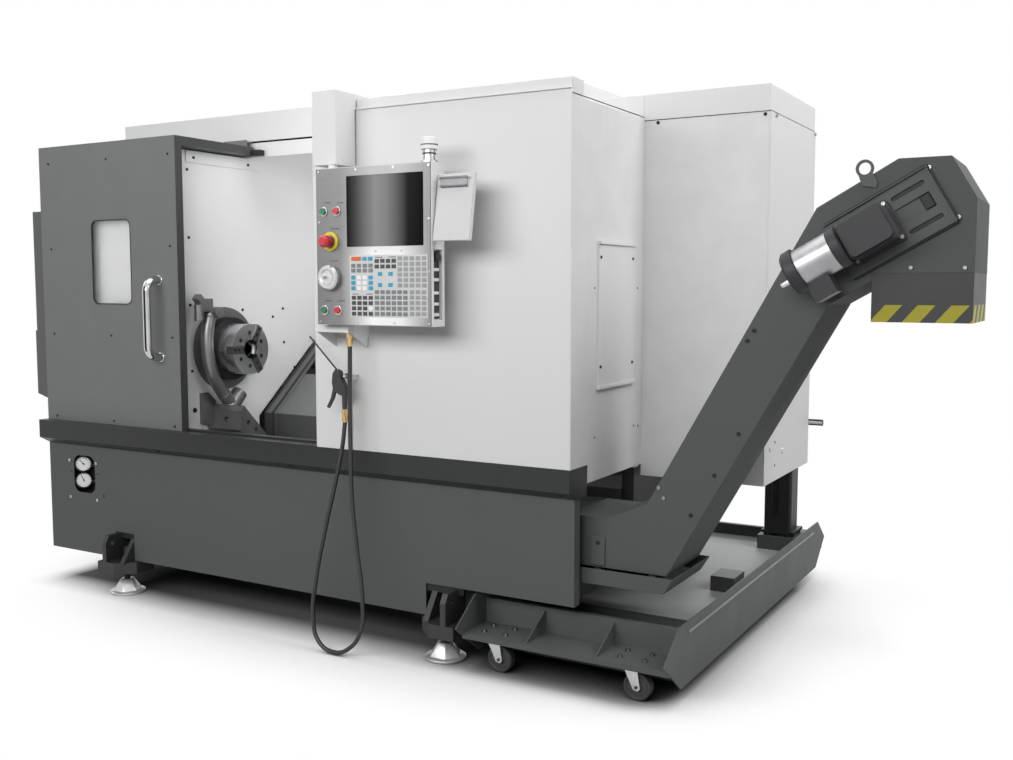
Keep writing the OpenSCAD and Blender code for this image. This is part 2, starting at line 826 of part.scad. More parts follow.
module spindle() {
    nose_back = wall_x - 4;
    color(black) difference() {
        union() {
            rod_x(spindle_y, spindle_z, nose_d, nose_back, chuck_back);
            rod_x(spindle_y, spindle_z, shaft_d, head_end - 30, nose_back + 1);
            rod_x(spindle_y, spindle_z, seat_d, wall_x - seat_l - 20, nose_back + 1);
            rod_x(spindle_y, spindle_z, seat_d, head_end + 6, head_end + seat_l);
            // Rotor of the built-in motor
            rod_x(spindle_y, spindle_z, seat_d + 10, head_end + seat_l + 60, wall_x - seat_l - 80);
        }
        rod_x(spindle_y, spindle_z, bore_d, head_end - 31, chuck_back + 1);
    }
}

// Frame of one jaw: x stands out of the chuck's face and y runs outwards
module at_jaw(angle) {
    translate([chuck_face, spindle_y, spindle_z]) rotate([angle, 0, 0]) children();
}

jaw_angles = [180, 60, -60];

module chuck_body() {
    slot = jaw_w + 2 * pass_gap;
    color(steel) difference() {
        rod_x(spindle_y, spindle_z, chuck_d, chuck_back, chuck_face);
        rod_x(spindle_y, spindle_z, bore_d, chuck_back - 1, chuck_face + 1);
        // Relief round the bore and a groove round the body
        rod_x(spindle_y, spindle_z, bore_d + 26, chuck_face - 22, chuck_face + 1);
        for (a = jaw_angles) at_jaw(a) {
            block([-jaw_deep - pass_gap, bore_d / 4, -slot / 2], [1, chuck_d, slot / 2]);
            // Cover screws in pairs beside each jaw
            for (t = [-34, 34]) rotate([t, 0, 0]) translate([-12, chuck_d * 0.33, 0])
                rotate([0, 90, 0]) cylinder(d = 11, h = 13);
        }
    }
}

module chuck_jaw(angle) {
    color(steel) at_jaw(angle) difference() {
        block([-jaw_deep, jaw_in, -jaw_w / 2], [jaw_proud, chuck_d / 2 + jaw_past, jaw_w / 2]);
        // Tenon slot across the outer half
        block([jaw_proud - 3, jaw_in - 1, -5], [jaw_proud + 1, jaw_in + 22, 5]);
        for (i = [0, 1]) translate([-16, jaw_in + 36 + i * jaw_pitch, 0])
            rotate([0, 90, 0]) cylinder(d = jaw_hole_d, h = 30);
    }
}

module chuck_jaw_1() { chuck_jaw(jaw_angles[0]); }
module chuck_jaw_2() { chuck_jaw(jaw_angles[1]); }
module chuck_jaw_3() { chuck_jaw(jaw_angles[2]); }

// Bed, saddle and turret

module way_cover() {
    cover_x = wall_x + 28;
    end = half - 44;
    low = 604;
    thick = strip_t + 1;
    color(graphite) {
        along_x(cover_x, end) polygon([[bed_y - 2, low], [bed_y + 1, low], fold(1, -2), on_slope(cover_l, -2),
            on_slope(cover_l, 1), fold(-2, 1)]);
        // Rubber-lipped strip at the headstock end
        difference() {
            along_x(cover_x + 1, cover_x + strip_w) polygon([[bed_y - 1 - thick, low], [bed_y - 1, low],
                fold(-1, 0), on_slope(strip_l, 0), on_slope(strip_l, thick), fold(-1 - thick, thick)]);
            along_x(cover_x + 14, cover_x + strip_w - 14) polygon([[bed_y - 3 - thick, low - 1],
                [bed_y + 5 - thick, low - 1], fold(5 - thick, thick - 6), on_slope(strip_l + 1, thick - 6),
                on_slope(strip_l + 1, thick + 2), fold(-3 - thick, thick + 2)]);
        }
        // Legs that stand the cover off the bed
        on_bed() for (x = [cover_x + 90, 300, half - 120]) block([x, 90, -bed_drop], [x + 40, 130, -1]);
        for (x = [cover_x + 90, 500, half - 160])
            block([x, bed_y, 610], [x + 40, on_slope(-20, -bed_drop)[0], 640]);
    }
}

module saddle() {
    bottom = -bed_drop + guide + pass_gap;
    x0 = turret_x + turret_t + 10;
    shoe = guide / 2 + 22;
    color(iron) on_bed() {
        block([x0, guide_low - 60, bottom], [x0 + saddle_l, guide_high + 60, bottom + saddle_t]);
        // Shoes that hug the rails
        for (s = [guide_low, guide_high]) for (side = [-1, 1])
            translate([0, s, 0]) mirror([0, side < 0 ? 1 : 0, 0])
                block([x0 + 20, guide / 2 + pass_gap, bottom - guide * 0.8],
                    [x0 + saddle_l - 20, shoe, bottom + 1]);
        // Cross rails for the slide
        for (x = [x0 + 60, x0 + saddle_l - 92])
            block([x, 90, bottom + saddle_t - 1], [x + guide, guide_high + 60, bottom + saddle_t + guide]);
        // Nose plate under the cross rails
        block([x0, 90, bottom + saddle_t - 26], [x0 + saddle_l, guide_low - 59, bottom + saddle_t]);
    }
}

slide_low = -bed_drop + guide + pass_gap + saddle_t + guide + pass_gap;
spindle_n = (spindle_y - bed_y) * -sin(slope) + (spindle_z - bed_z) * cos(slope);

module turret_slide() {
    x0 = turret_x + turret_t + pass_gap;
    x1 = x0 + saddle_l;
    color(iron) on_bed() {
        block([x0 + 10, turret_s - turret_w / 2, slide_low], [x1 - 10, turret_s + turret_w / 2, slide_low + 60]);
        difference() {
            union() {
                block([x0 + 4, turret_s - turret_w / 2 + 20, slide_low + 50],
                    [x0 + turret_body - 60, turret_s + turret_w / 2 - 20, spindle_n]);
                translate([x0, turret_s, spindle_n]) rotate([0, 90, 0]) cylinder(d = 220, h = turret_body - 40);
            }
            translate([x0 - 1, turret_s, spindle_n]) rotate([0, 90, 0]) cylinder(d = 80 + 2 * run_gap, h = 60);
        }
        // Servo motor on the back of the housing
        translate([x0 + turret_body - 41, turret_s, spindle_n]) rotate([0, 90, 0]) cylinder(d = 130, h = 90);
    }
}

module turret_disc() {
    color(steel) on_bed() translate([turret_x, turret_s, spindle_n]) rotate([0, 90, 0]) {
        difference() {
            cylinder(d = turret_d, h = turret_t);
            translate([0, 0, -1]) cylinder(d = 120, h = 16);
            for (i = [0 : stations - 1]) rotate([0, 0, i * 360 / stations])
                translate([turret_d * 0.36, 0, -1]) cylinder(d = 32, h = 60);
        }
        // Tool blocks round the edge
        for (i = [0 : 2 : stations - 1]) rotate([0, 0, (i + 0.5) * 360 / stations])
            translate([turret_d / 2 - 12, -28, 14]) cube([12 + tool_reach, 56, 66]);
        // Shaft in the housing
        translate([0, 0, turret_t - 1]) cylinder(d = 80, h = 50);
    }
}

// Tool setter

setter_x = wall_x + setter_out;
arm_way = [cos(arm_dir), sin(arm_dir)];
bend_start = [hub_y, hub_z] + arm_l * arm_way;
bend_mid = bend_start + arm_r * [sin(arm_dir), -cos(arm_dir)];
arm_tip = bend_mid + arm_r * [-sin(arm_end), cos(arm_end)];

// Frame of the setter's pivot: z along the pivot, y along the arm's straight part
module at_hub() {
    translate([setter_x, hub_y, hub_z]) rotate([arm_dir, 0, 0]) children();
}

module tool_setter_base() {
    color(iron) {
        // Wall plate
        along_x(wall_x, wall_x + 14) polygon([[hub_y - 116, hub_z - 73], [hub_y - 116, hub_z + 55],
            [hub_y - 79, hub_z + 55], [hub_y - 39, hub_z + 19], [hub_y - 39, hub_z - 90]]);
        // Leaning block that the arm turns on
        difference() {
            along_x(wall_x, setter_x + 117) polygon([[hub_y - 47, hub_z + 5], [hub_y + 79, hub_z - 125],
                [hub_y + 69, hub_z - 153], [hub_y - 34, hub_z - 133], [hub_y - 75, hub_z - 93],
                [hub_y - 70, hub_z - 15]]);
            at_hub() translate([0, 0, -6]) cylinder(d = 24 + 2 * run_gap, h = 90);
            translate([setter_x + 118, hub_y - 24, hub_z - 66]) rotate([0, -90, 0]) cylinder(d = 20, h = 24);
            translate([setter_x + 118, hub_y + 18, hub_z - 98]) rotate([0, -90, 0]) cylinder(d = 14, h = 24);
            translate([setter_x + 40, hub_y - 100, hub_z - 54]) rotate([-90, 0, 0]) cylinder(d = 26, h = 46);
        }
    }
}

module tool_setter_arm() {
    color(iron) {
        at_hub() {
            translate([0, 0, -68]) cylinder(d = hub_d, h = 97);
            translate([0, 0, 18]) cylinder(d = 24, h = 60);
            rotate([-90, 0, 0]) cylinder(d = arm_d + 6, h = arm_l + 4);
        }
        translate([setter_x, bend_mid[0], bend_mid[1]]) rotate([90, 0, 90]) rotate([0, 0, arm_end + 90])
            rotate_extrude(angle = arm_dir - arm_end) translate([arm_r, 0]) circle(d = arm_d);
        // Head with the cube stylus
        translate([setter_x, arm_tip[0], arm_tip[1]]) {
            sphere(d = arm_d + 8);
            rod_x(6, 12, 44, -40, 46);
            block([-20, -56, 16], [20, -4, 68]);
            translate([0, -64, -21]) cylinder(d = 36, h = 64);
            block([-16, -70, 34], [16, -40, 58]);
            translate([0, -64, 66]) rotate([45, 0, 0]) cube([34, 28, 28], center = true);
        }
    }
}

// Door

module door_panel() {
    lid_low_z = door_top - door_lid;
    color(graphite) {
        difference() {
            union() {
                block([door_x, 0, door_low], [door_end, sheet, door_top]);
                for (x = [door_x, door_end - sheet]) block([x, 0, door_low], [x + sheet, door_t, door_top]);
                block([door_x, 0, door_low], [door_end, door_t, door_low + sheet]);
                // Frame round the glass
                block([door_x + window_x - 40, sheet - 1, window_z - 40],
                    [door_x + window_x + window_w + 40, sheet + glass_t + 3, window_z + window_h + 40]);
            }
            along_y(-1, sheet + 20) translate([door_x + window_x, window_z]) rounded(window_w, window_h, window_r);
            along_y(sheet, sheet + 30) translate([door_x + window_x - glass_lap, window_z - glass_lap])
                rounded(window_w + 2 * glass_lap, window_h + 2 * glass_lap, window_r + glass_lap);
        }
        // Top panel with a rounded rear corner
        translate([0, 0, lid_low_z]) linear_extrude(door_lid) {
            translate([door_x, 0]) square([door_w - 30, door_reach]);
            translate([door_end - 31, 0]) square([31, door_reach - 30]);
            translate([door_end - 30, door_reach - 30]) circle(30);
        }
        // Hanger with its runner in the track
        block([door_end - 150, door_reach - 40, door_top - 1], [door_end - 20, door_reach - 34, door_top + 30]);
        block([door_end - 140, door_reach - 35, track_z - 3.5], [door_end - 30, door_reach + 9, track_z + 3.5]);
    }
}

module door_window() {
    color(glass) along_y(sheet, sheet + glass_t) translate([door_x + window_x - glass_lap + 0.5,
        window_z - glass_lap + 0.5]) rounded(window_w + 2 * glass_lap - 1, window_h + 2 * glass_lap - 1,
        window_r + glass_lap - 0.5);
}

module door_handle() {
    x = door_end - handle_in;
    bend = 46;
    low = handle_z;
    high = handle_z + handle_h;
    color(steel) {
        for (z = [low, high]) {
            rod_y(x, z, handle_d, -handle_out + bend, 0);
            rod_y(x, z, handle_d + 16, -5, 0);
        }
        rod_z(x, -handle_out, handle_d, low + bend, high - bend);
        translate([x, -handle_out + bend, low + bend]) rotate([90, 0, 90]) rotate([0, 0, 180])
            rotate_extrude(angle = 90) translate([bend, 0]) circle(d = handle_d);
        translate([x, -handle_out + bend, high - bend]) rotate([90, 0, 90]) rotate([0, 0, 90])
            rotate_extrude(angle = 90) translate([bend, 0]) circle(d = handle_d);
    }
}

// Pendant

button_xs = [pend_x + column_x - button_half, pend_x + column_x + button_half];
button_zs = [pendant_z + button_low, pendant_z + button_high];
bezel = 5;

module button_wells(d) {
    for (x = button_xs, z = button_zs) rod_y(x, z, d, face_front - bezel - 1, -pendant_front + button_travel + 2);
}

module pendant_case() {
    color(white) difference() {
        union() {
            block([pend_x, -pendant_front, pendant_z], [pend_x + pendant_w, pend_back, pend_top]);
            // Collar under the post
            rod_z(pivot_px, pivot_py, pivot_d + 10, pend_top - 1, post_low - pass_gap);
        }
        rod_z(pivot_px, pivot_py, pivot_d + 2 * run_gap, pend_top - pivot_deep, post_low + 1);
        rod_z(pivot_px, pivot_py, pivot_d + 2 * run_gap, pendant_z - 1, pendant_z + pivot_deep);
        button_wells(button_d + 2 * pass_gap);
        rod_y(pend_x + column_x, pendant_z + stop_z, stop_d, -pendant_front - 1, -pendant_front + 24);
        rod_y(pend_x + column_x, pendant_z + jog_z, 12 + 2 * run_gap, -pendant_front - 1, -pendant_front + 24);
        // Recess for the sockets on the right side
        block([pend_x + pendant_w - 12, -pendant_front + 8, pendant_z + 22],
            [pend_x + pendant_w + 1, pend_back - 14, pendant_z + 244]);
    }
}

module pendant_face() {
    color(steel) difference() {
        union() {
            block([pend_x + 2, face_front, pendant_z + 2],
                [pend_x + pendant_w - 4, -pendant_front, pend_top - 2]);
            for (x = button_xs, z = button_zs) rod_y(x, z, button_d + 8, face_front - bezel, face_front + 1);
            rod_y(pend_x + column_x, pendant_z + stop_z, collar_d, face_front - 5, face_front + 1);
            rod_y(pend_x + column_x, pendant_z + jog_z, jog_d + 6, face_front - 3, face_front + 1);
        }
        button_wells(button_d + 2 * pass_gap);
        rod_y(pend_x + column_x, pendant_z + stop_z, 26 + 2 * pass_gap, face_front - 9, -pendant_front + 1);
        rod_y(pend_x + column_x, pendant_z + jog_z, 12 + 2 * run_gap, face_front - 9, -pendant_front + 1);
        block([pend_x + screen_x, face_front - 1, pendant_z + screen_z],
            [pend_x + screen_x + screen_w, -pendant_front + 1, pendant_z + screen_z + screen_h]);
    }
}

module pendant_screen() {
    color(black) block([pend_x + screen_x + 0.2, face_front + 0.8, pendant_z + screen_z + 0.2],
        [pend_x + screen_x + screen_w - 0.2, -pendant_front, pendant_z + screen_z + screen_h - 0.2]);
}

beacon_x = pend_x + pendant_w - 32;
beacon_y = -pendant_front + 34;

module beacon_light() {
    color(zinc) {
        rod_z(beacon_x, beacon_y, beacon_d + 2, pend_top, pend_top + 6);
        rod_z(beacon_x, beacon_y, beacon_d - 16, pend_top, pend_top + beacon_h * 0.6);
        translate([beacon_x, beacon_y, pend_top + beacon_h * 0.5]) rotate_extrude()
            polygon([[0, 0], [beacon_d / 2 - 1, 0], [beacon_d / 2, 4], [beacon_d / 2 - 2, beacon_h * 0.5 - 4],
                [beacon_d / 2 - 8, beacon_h * 0.5], [0, beacon_h * 0.5]]);
    }
}

module clipboard() {
    x0 = pend_x + pendant_w;
    z0 = pendant_z + 273;
    board_y = -pendant_front + 36;
    color(white) {
        // Bracket plate on the pendant's side
        block([x0, board_y - 4, z0 + 20], [x0 + 4, pend_back - 8, z0 + clip_h - 20]);
        // Leaning tray
        along_x(x0 + 3, x0 + 6 + clip_w) polygon([[board_y, z0 + clip_h], [board_y - 3, z0 + clip_h],
            [board_y - clip_lean - 3, z0], [board_y - clip_lean - 3, z0 - 3], [board_y - clip_lean + 12, z0 - 3],
            [board_y - clip_lean + 12, z0], [board_y - clip_lean, z0]]);
        for (x = [x0 + 3, x0 + 3 + clip_w]) along_x(x, x + 3) polygon([[board_y, z0 + clip_h],
            [board_y + 14, z0 + clip_h], [board_y - clip_lean + 14, z0 - 3], [board_y - clip_lean - 3, z0 - 3]]);
        // Spring clip
        block([x0 + 20, board_y - 14, z0 + clip_h - 38], [x0 + clip_w - 14, board_y - 2, z0 + clip_h - 12]);
        rod_x(board_y - 12, z0 + clip_h - 14, 8, x0 + 14, x0 + clip_w - 8);
    }
}

module estop_button() {
    x = pend_x + column_x;
    z = pendant_z + stop_z;
    back = face_front - 5 - stop_travel - 1;
    color([0.75, 0.1, 0.1]) {
        rod_y(x, z, 26, back - 6, -pendant_front + 10);
        translate([x, back, z]) rotate([90, 0, 0]) rotate_extrude() polygon([[0, 0], [14, 0], [stop_d / 2, 9],
            [stop_d / 2, back - stop_front - 9], [stop_d / 2 - 7, back - stop_front], [0, back - stop_front]]);
    }
}

module jog_wheel() {
    x = pend_x + column_x;
    z = pendant_z + jog_z;
    color(zinc) {
        rod_y(x, z, 12, face_front - 10, -pendant_front + 20);
        translate([x, face_front - 3 - pass_gap, z]) rotate([90, 0, 0]) rotate_extrude()
            polygon([[0, 0], [jog_d / 2 - 2, 0], [jog_d / 2, 3], [jog_d / 2, jog_reach - 12],
                [jog_d / 2 - 5, jog_reach - 6], [jog_d / 2 - 14, jog_reach - 6], [jog_d / 2 - 18, jog_reach - 9],
                [0, jog_reach - 9]]);
        // Finger knob
        rod_y(x - 12, z + 4, 15, face_front - jog_reach - 8, face_front - 10);
    }
}

module push_button(i, j) {
    rod_y(button_xs[i], button_zs[j], button_d, face_front - button_h, -pendant_front + 1);
}

module green_start_button() { color([0.1, 0.5, 0.2]) push_button(0, 0); }
module red_hold_button() { color([0.75, 0.15, 0.15]) push_button(1, 0); }
module green_power_button() { color([0.1, 0.5, 0.2]) push_button(0, 1); }
module red_power_button() { color([0.75, 0.15, 0.15]) push_button(1, 1); }

module pendant_post() {
    color(white) {
        block([post_x, -post_front, post_low], [post_x + post_w, column_front, post_top]);
        block([post_x, column_front - 1, panel_top], [post_x + post_w, 31, post_top]);
        rod_z(pivot_px, pivot_py, pivot_d, pend_top - pivot_deep + 1, post_low + 1);
    }
}

module pendant_bracket() {
    x0 = post_x;
    x1 = post_x + shelf_w;
    front = -post_front;
    color(white) {
        block([x0, front, shelf_low], [x1, column_front, shelf_low + shelf_h]);
        block([panel_x + column_w, column_front - 1, shelf_low - 20], [x1, -panel_reach, shelf_low + shelf_h]);
        for (x = [x0, x1 - 6]) along_x(x, x + 6) polygon([[front + 4, shelf_low + 1],
            [column_front, shelf_low - gusset_h], [column_front, shelf_low + 1]]);
        rod_z(pivot_px, pivot_py, pivot_d, shelf_low, pendant_z + pivot_deep - 1);
        rod_z(pivot_px, pivot_py, pivot_d + 10, shelf_low + shelf_h - 1, pendant_z - pass_gap);
    }
}

// Chip conveyor

conv_foot_x = side_x + conv_foot;
function climb(z) = (z - conv_low) / tan(conv_angle);
head_start = [conv_foot_x - conv_band + climb(head_z), head_z];
hood_start = head_start[0] + (hood_top - head_z) / tan(head_angle);
low_bend_z = 1227;
low_bend = [conv_foot_x + climb(low_bend_z), low_bend_z];
chute_left = side_x + chute_x;
chute_step = low_bend[1] + (chute_left - low_bend[0]) * tan(head_angle);
flat_end = side_x + 66;
rise_z = conv_top + 57;
conv_start = wall_x + 78;
conv_outline = [[conv_start, conv_low], [conv_foot_x, conv_low], low_bend, [chute_left, chute_step],
    [chute_left, hood_low], [hood_end, hood_low], [hood_end, hood_top - 114], [hood_end - 67, hood_top],
    [hood_start, hood_top], head_start, [conv_foot_x - conv_band + climb(rise_z), rise_z],
    [flat_end, conv_top], [conv_start, conv_top]];

// The belt's loop runs up the incline and turns round in the head
belt_rise = conv_band * sin(conv_angle);
belt_run = 112;
belt_tip = low_bend + belt_run * [cos(head_angle), sin(head_angle)];
belt_back = belt_tip + belt_rise * [-sin(head_angle), cos(head_angle)];
belt_turn = low_bend + belt_rise * (turn_left([cos(conv_angle), sin(conv_angle)])
    + turn_left([cos(head_angle), sin(head_angle)]))
    / (1 + cos(conv_angle - head_angle));
belt_outline = [[conv_start, conv_low], [conv_foot_x, conv_low], low_bend, belt_tip, belt_back, belt_turn,
    [conv_foot_x - conv_band + climb(rise_z), rise_z], [flat_end, conv_top], [conv_start, conv_top]];

module conveyor_housing() {
    color(graphite) difference() {
        along_y(conv_y, conv_back) polygon(conv_outline);
        along_y(conv_y + conv_t, conv_back - conv_t) polygon(inset(conv_outline, conv_t));
        // Open top inside the machine
        block([conv_start + conv_t, conv_y + conv_t, conv_top - conv_t - 1],
            [half - 60, conv_back - conv_t, conv_top + 1]);
        // Mouth over the chute
        block([chute_left + conv_t, conv_y + conv_t, hood_low - 1],
            [hood_end - conv_t, conv_back - conv_t, hood_low + conv_t + 1]);
    }
}

module conveyor_belt() {
    skin = conv_t + pass_gap;
    color(steel) along_y(conv_y + conv_t + 12, conv_back - conv_t - 12) difference() {
        polygon(inset(belt_outline, skin));
        polygon(inset(belt_outline, skin + belt_t));
    }
}

module conveyor_chute() {
    wall = 4;
    x0 = chute_left + conv_t + 0.5;
    x1 = hood_end - conv_t - 0.5;
    y0 = conv_y + conv_t + 0.5;
    y1 = conv_back - conv_t - 0.5;
    color(black) difference() {
        union() {
            block([x0, y0, hood_low - 1], [x1, y1, hood_low + 20]);
            block([chute_left + 0.5, conv_y + 1, hood_low - chute_h], [hood_end - 0.5, conv_back - 1, hood_low]);
        }
        block([x0 + wall, y0 + wall, hood_low - chute_h - 1], [x1 - wall, y1 - wall, hood_low + 21]);
    }
}

drive_x = (chute_left + head_start[0]) / 2 + 120;
drive_z = 1451;
slide_t = 8;

module motor_slide_plate() {
    color(graphite) on_head() {
        difference() {
            translate([-slide_l / 2, -slide_w / 2, 0]) linear_extrude(slide_t) rounded(slide_l, slide_w, 6);
            for (v = [-52, 52]) translate([36, v, -1]) linear_extrude(slide_t + 2) slot(96, 12);
            translate([30, -22, 2]) cube([100, 44, slide_t]);
        }
        // Upturned edges
        for (v = [-slide_w / 2, slide_w / 2 - 3]) translate([-slide_l / 2, v, 0]) cube([slide_l, 3, slide_t + 8]);
        translate([slide_l / 2 - 3, -slide_w / 2, 0]) cube([3, slide_w, slide_t + 8]);
        // Belt-tension bolt in its lug
        translate([-slide_l / 2 - 44, -16, 0]) cube([10, 32, 30]);
        translate([-slide_l / 2 - 60, 0, 20]) rotate([0, 90, 0]) cylinder(d = 10, h = 60);
        translate([-slide_l / 2 - 68, 0, 20]) rotate([0, 90, 0]) cylinder(d = 18, h = 9, $fn = 6);
        translate([-slide_l / 2 - 44, -16, 0]) cube([60, 32, 6]);
    }
}

module conveyor_gearbox() {
    color(black) on_head() translate([0, 0, slide_t]) {
        translate([-126, -62, 0]) linear_extrude(16) rounded(152, 124, 10);
        translate([-118, -54, 15]) linear_extrude(70) rounded(136, 108, 18);
        translate([-112, -48, 84]) linear_extrude(22) rounded(124, 96, 16);
    }
}

module conveyor_motor() {
    axis = 78;
    color(zinc) on_head() translate([0, 0, slide_t]) {
        translate([-142, 0, axis]) rotate([0, 90, 0]) cylinder(d = motor_d + 6, h = 24);
        translate([-250, 0, axis]) rotate([0, 90, 0]) cylinder(d = motor_d, h = 112);
        translate([-284, 0, axis]) rotate([0, 90, 0]) rotate_extrude() polygon([[0, 0], [motor_d / 2 + 2, 0],
            [motor_d / 2 + 10, 8], [motor_d / 2 + 10, 34], [0, 34]]);
        // Terminal box
        translate([-252, -106, axis - 30]) cube([66, 62, 58]);
    }
}

eye_x = side_x + 837;
eye_z = 1604;
eye_t = 6;

module lifting_eye() {
    edge_z = head_start[1] + (eye_x - head_start[0]) * tan(head_angle);
    color(graphite) difference() {
        union() {
            rod_y(eye_x, eye_z, eye_d, conv_y - eye_t, conv_y);
            along_y(conv_y - eye_t, conv_y) polygon([[eye_x - 18, eye_z - 14], [eye_x - 6, edge_z - 20],
                [eye_x + 32, edge_z - 26], [eye_x + 36, edge_z - 12], [eye_x + 20, eye_z - 10]]);
        }
        rod_y(eye_x, eye_z, eye_hole, conv_y - eye_t - 1, conv_y + 1);
    }
}

module drip_tray() {
    low = conv_low - tray_h;
    outline = [[half - 40, low], [side_x + 268, low], [side_x + 300, conv_low - 1], [half - 40, conv_low - 1]];
    y0 = conv_y - 26;
    y1 = conv_back + 22;
    color(graphite) {
        difference() {
            along_y(y0, y1) polygon(outline);
            along_y(y0 + sheet, y1 - sheet) polygon([outline[0] + [-1, sheet], outline[1] + [-sheet, sheet],
                outline[2] + [-sheet, 2], outline[3] + [-1, 2]]);
        }
        // Ledges under the conveyor
        for (x = [half + 20, side_x + 200]) block([x, conv_y + 20, low], [x + 24, conv_back - 20, conv_low]);
    }
}

// Coolant tank

// End plate with pointed noses over the caster shelves
module tank_plate(x0, x1) {
    nose = [tank_y - nose_reach, nose_z];
    tail = [tank_back + nose_reach, nose_z];
    along_x(x0, x1) polygon([[tank_y - 50, tank_low], nose, [tank_y - 72, plate_top], [tank_back + 72, plate_top],
        tail, [tank_back + 50, tank_low]]);
}

module caster_shelf() {
    lip = 12;
    block([tank_x, tank_y - shelf_reach, shelf_top - 6], [tank_end, tank_y + 1, shelf_top]);
    block([tank_x, tank_y - shelf_reach, shelf_top - lip - 6], [tank_end, tank_y - shelf_reach + 4, shelf_top]);
    // Gussets above and below the shelf
    for (x = [tank_x, tank_x + 232, tank_x + 482]) {
        along_x(x, x + 4) polygon([[tank_y - shelf_reach + 6, shelf_top - 1], [tank_y + 1, shelf_top - 1],
            [tank_y + 1, tank_top - 8]]);
        along_x(x, x + 4) polygon([[tank_y - shelf_reach + 20, shelf_top - 5], [tank_y + 1, shelf_top - 5],
            [tank_y + 1, tank_low + 6]]);
    }
}

module coolant_tank() {
    color(graphite) {
        difference() {
            block([tank_x, tank_y, tank_low], [tank_end, tank_back, tank_top]);
            block([tank_x + 4, tank_y + 4, tank_low + 4], [tank_end - 4, tank_back - 4, tank_top + 1]);
        }
        // Turned rims of the long walls
        for (y = [tank_y, tank_back - 22]) block([tank_x, y, tank_top - 4], [tank_end, y + 22, tank_top]);
        tank_plate(tank_end - 4, tank_end);
        tank_plate(tank_x, tank_x + 4);
        // Bead along the right plate
        rod_y(tank_end, tank_top - 4, 9, tank_y + 10, tank_back - 10);
        caster_shelf();
        translate([0, tank_y + tank_back, 0]) mirror([0, 1, 0]) caster_shelf();
        // Baffle under the deck
        block([tank_x + 3, tank_y + 260, tank_low + 3], [tank_end - 3, tank_y + 264, deck_z + 1]);
        // Deck over the clean side
        block([tank_x + 3, tank_y + 260, deck_z], [tank_end - 3, tank_back - 3, deck_z + 4]);
        // Fill box with its cover
        block([tank_end - 150, tank_y + 640, deck_z + 3], [tank_end - 60, tank_y + 760, deck_z + 60]);
        // Raised stand for the pump
        block([tank_end - 190, tank_back - 200, deck_z + 3], [tank_end - 20, tank_back - 3, tank_top + 8]);
    }
}

deck_z = 158;

module coolant_pump() {
    x0 = tank_end - 166;
    y0 = tank_back - 192;
    stand = tank_top + 8;
    color(black) {
        for (x = [x0 + 18, x0 + 104], y = [y0 + 20, y0 + 116]) rod_z(x, y, 46, stand, stand + 14);
        block([x0 - 8, y0 - 4, stand + 12], [x0 + 130, y0 + 140, stand + 24]);
        difference() {
            translate([x0, y0, stand + 22]) linear_extrude(340) rounded(116, 110, 12);
            block([x0 + 34, y0 - 1, stand + 90], [x0 + 62, y0 + 6, stand + 330]);
        }
    }
}

module caster(x, y) {
    trail = 22;
    color(zinc) {
        block([x - 52, y - 40, shelf_top - 12], [x + 38, y + 40, shelf_top - 6]);
        rod_z(x - trail, y, 54, shelf_top - 24, shelf_top - 11);
        for (side = [-1, 1]) {
            y0 = side < 0 ? y - wheel_w / 2 - 5 : y + wheel_w / 2 + 1;
            along_y(y0, y0 + 4) difference() {
                polygon([[x - trail - 24, shelf_top - 20], [x - trail + 24, shelf_top - 20], [x + 13, axle_z - 4],
                    [x + 4, axle_z - 12], [x - 10, axle_z - 8]]);
                translate([x, axle_z]) circle(d = 10 + 2 * run_gap);
            }
        }
        block([x - trail - 24, y - wheel_w / 2 - 5, shelf_top - 24], [x - trail + 24, y + wheel_w / 2 + 5, shelf_top - 20]);
    }
}

module caster_forks() {
    for (x = caster_xs, y = caster_ys) caster(x, y);
}

module caster_wheels(x) {
    color(black) for (y = caster_ys) {
        translate([x, y, axle_z]) rotate([90, 0, 0]) rotate_extrude() polygon([[0, -wheel_w / 2],
            [15, -wheel_w / 2], [18, -wheel_w / 2 + 4], [wheel_d / 2 - 12, -wheel_w / 2 + 4],
            [wheel_d / 2 - 8, -wheel_w / 2], [wheel_d / 2 - 3, -wheel_w / 2], [wheel_d / 2, -wheel_w / 2 + 4],
            [wheel_d / 2, wheel_w / 2 - 4], [wheel_d / 2 - 3, wheel_w / 2], [wheel_d / 2 - 8, wheel_w / 2],
            [wheel_d / 2 - 12, wheel_w / 2 - 4], [18, wheel_w / 2 - 4], [15, wheel_w / 2], [0, wheel_w / 2]]);
        rod_y(x, axle_z, 10, y - wheel_w / 2 - 8, y + wheel_w / 2 + 8);
    }
}

module caster_wheels_left() { caster_wheels(caster_xs[0]); }
module caster_wheels_right() { caster_wheels(caster_xs[1]); }

// Air line

gun_y = -112;
peg_d = 8;
peg_x = 458;
peg_z = 972;
fitting_d = 19;
hose_route = [[489, -130, 1076], [488, -131, 985], [488, -133, 890], [491, -136, 720], [499, -142, 550],
    [524, -150, 380], [551, -158, 212], [549, -164, 108], [504, -168, 38], [432, -170, 10], [362, -168, 38],
    [337, -164, 128], [348, -158, 254], [385, -149, 434], [426, -137, 611], [446, -121, 740], [450, -113, 812]];

// Smooth curve through the route's points
function route_at(i, t) = let (p = hose_route, n = len(hose_route), a = p[max(i - 1, 0)], b = p[i], c = p[i + 1],
    d = p[min(i + 2, n - 1)])
    0.5 * (2 * b + (c - a) * t + (2 * a - 5 * b + 4 * c - d) * t * t + (3 * b - a - 3 * c + d) * t * t * t);

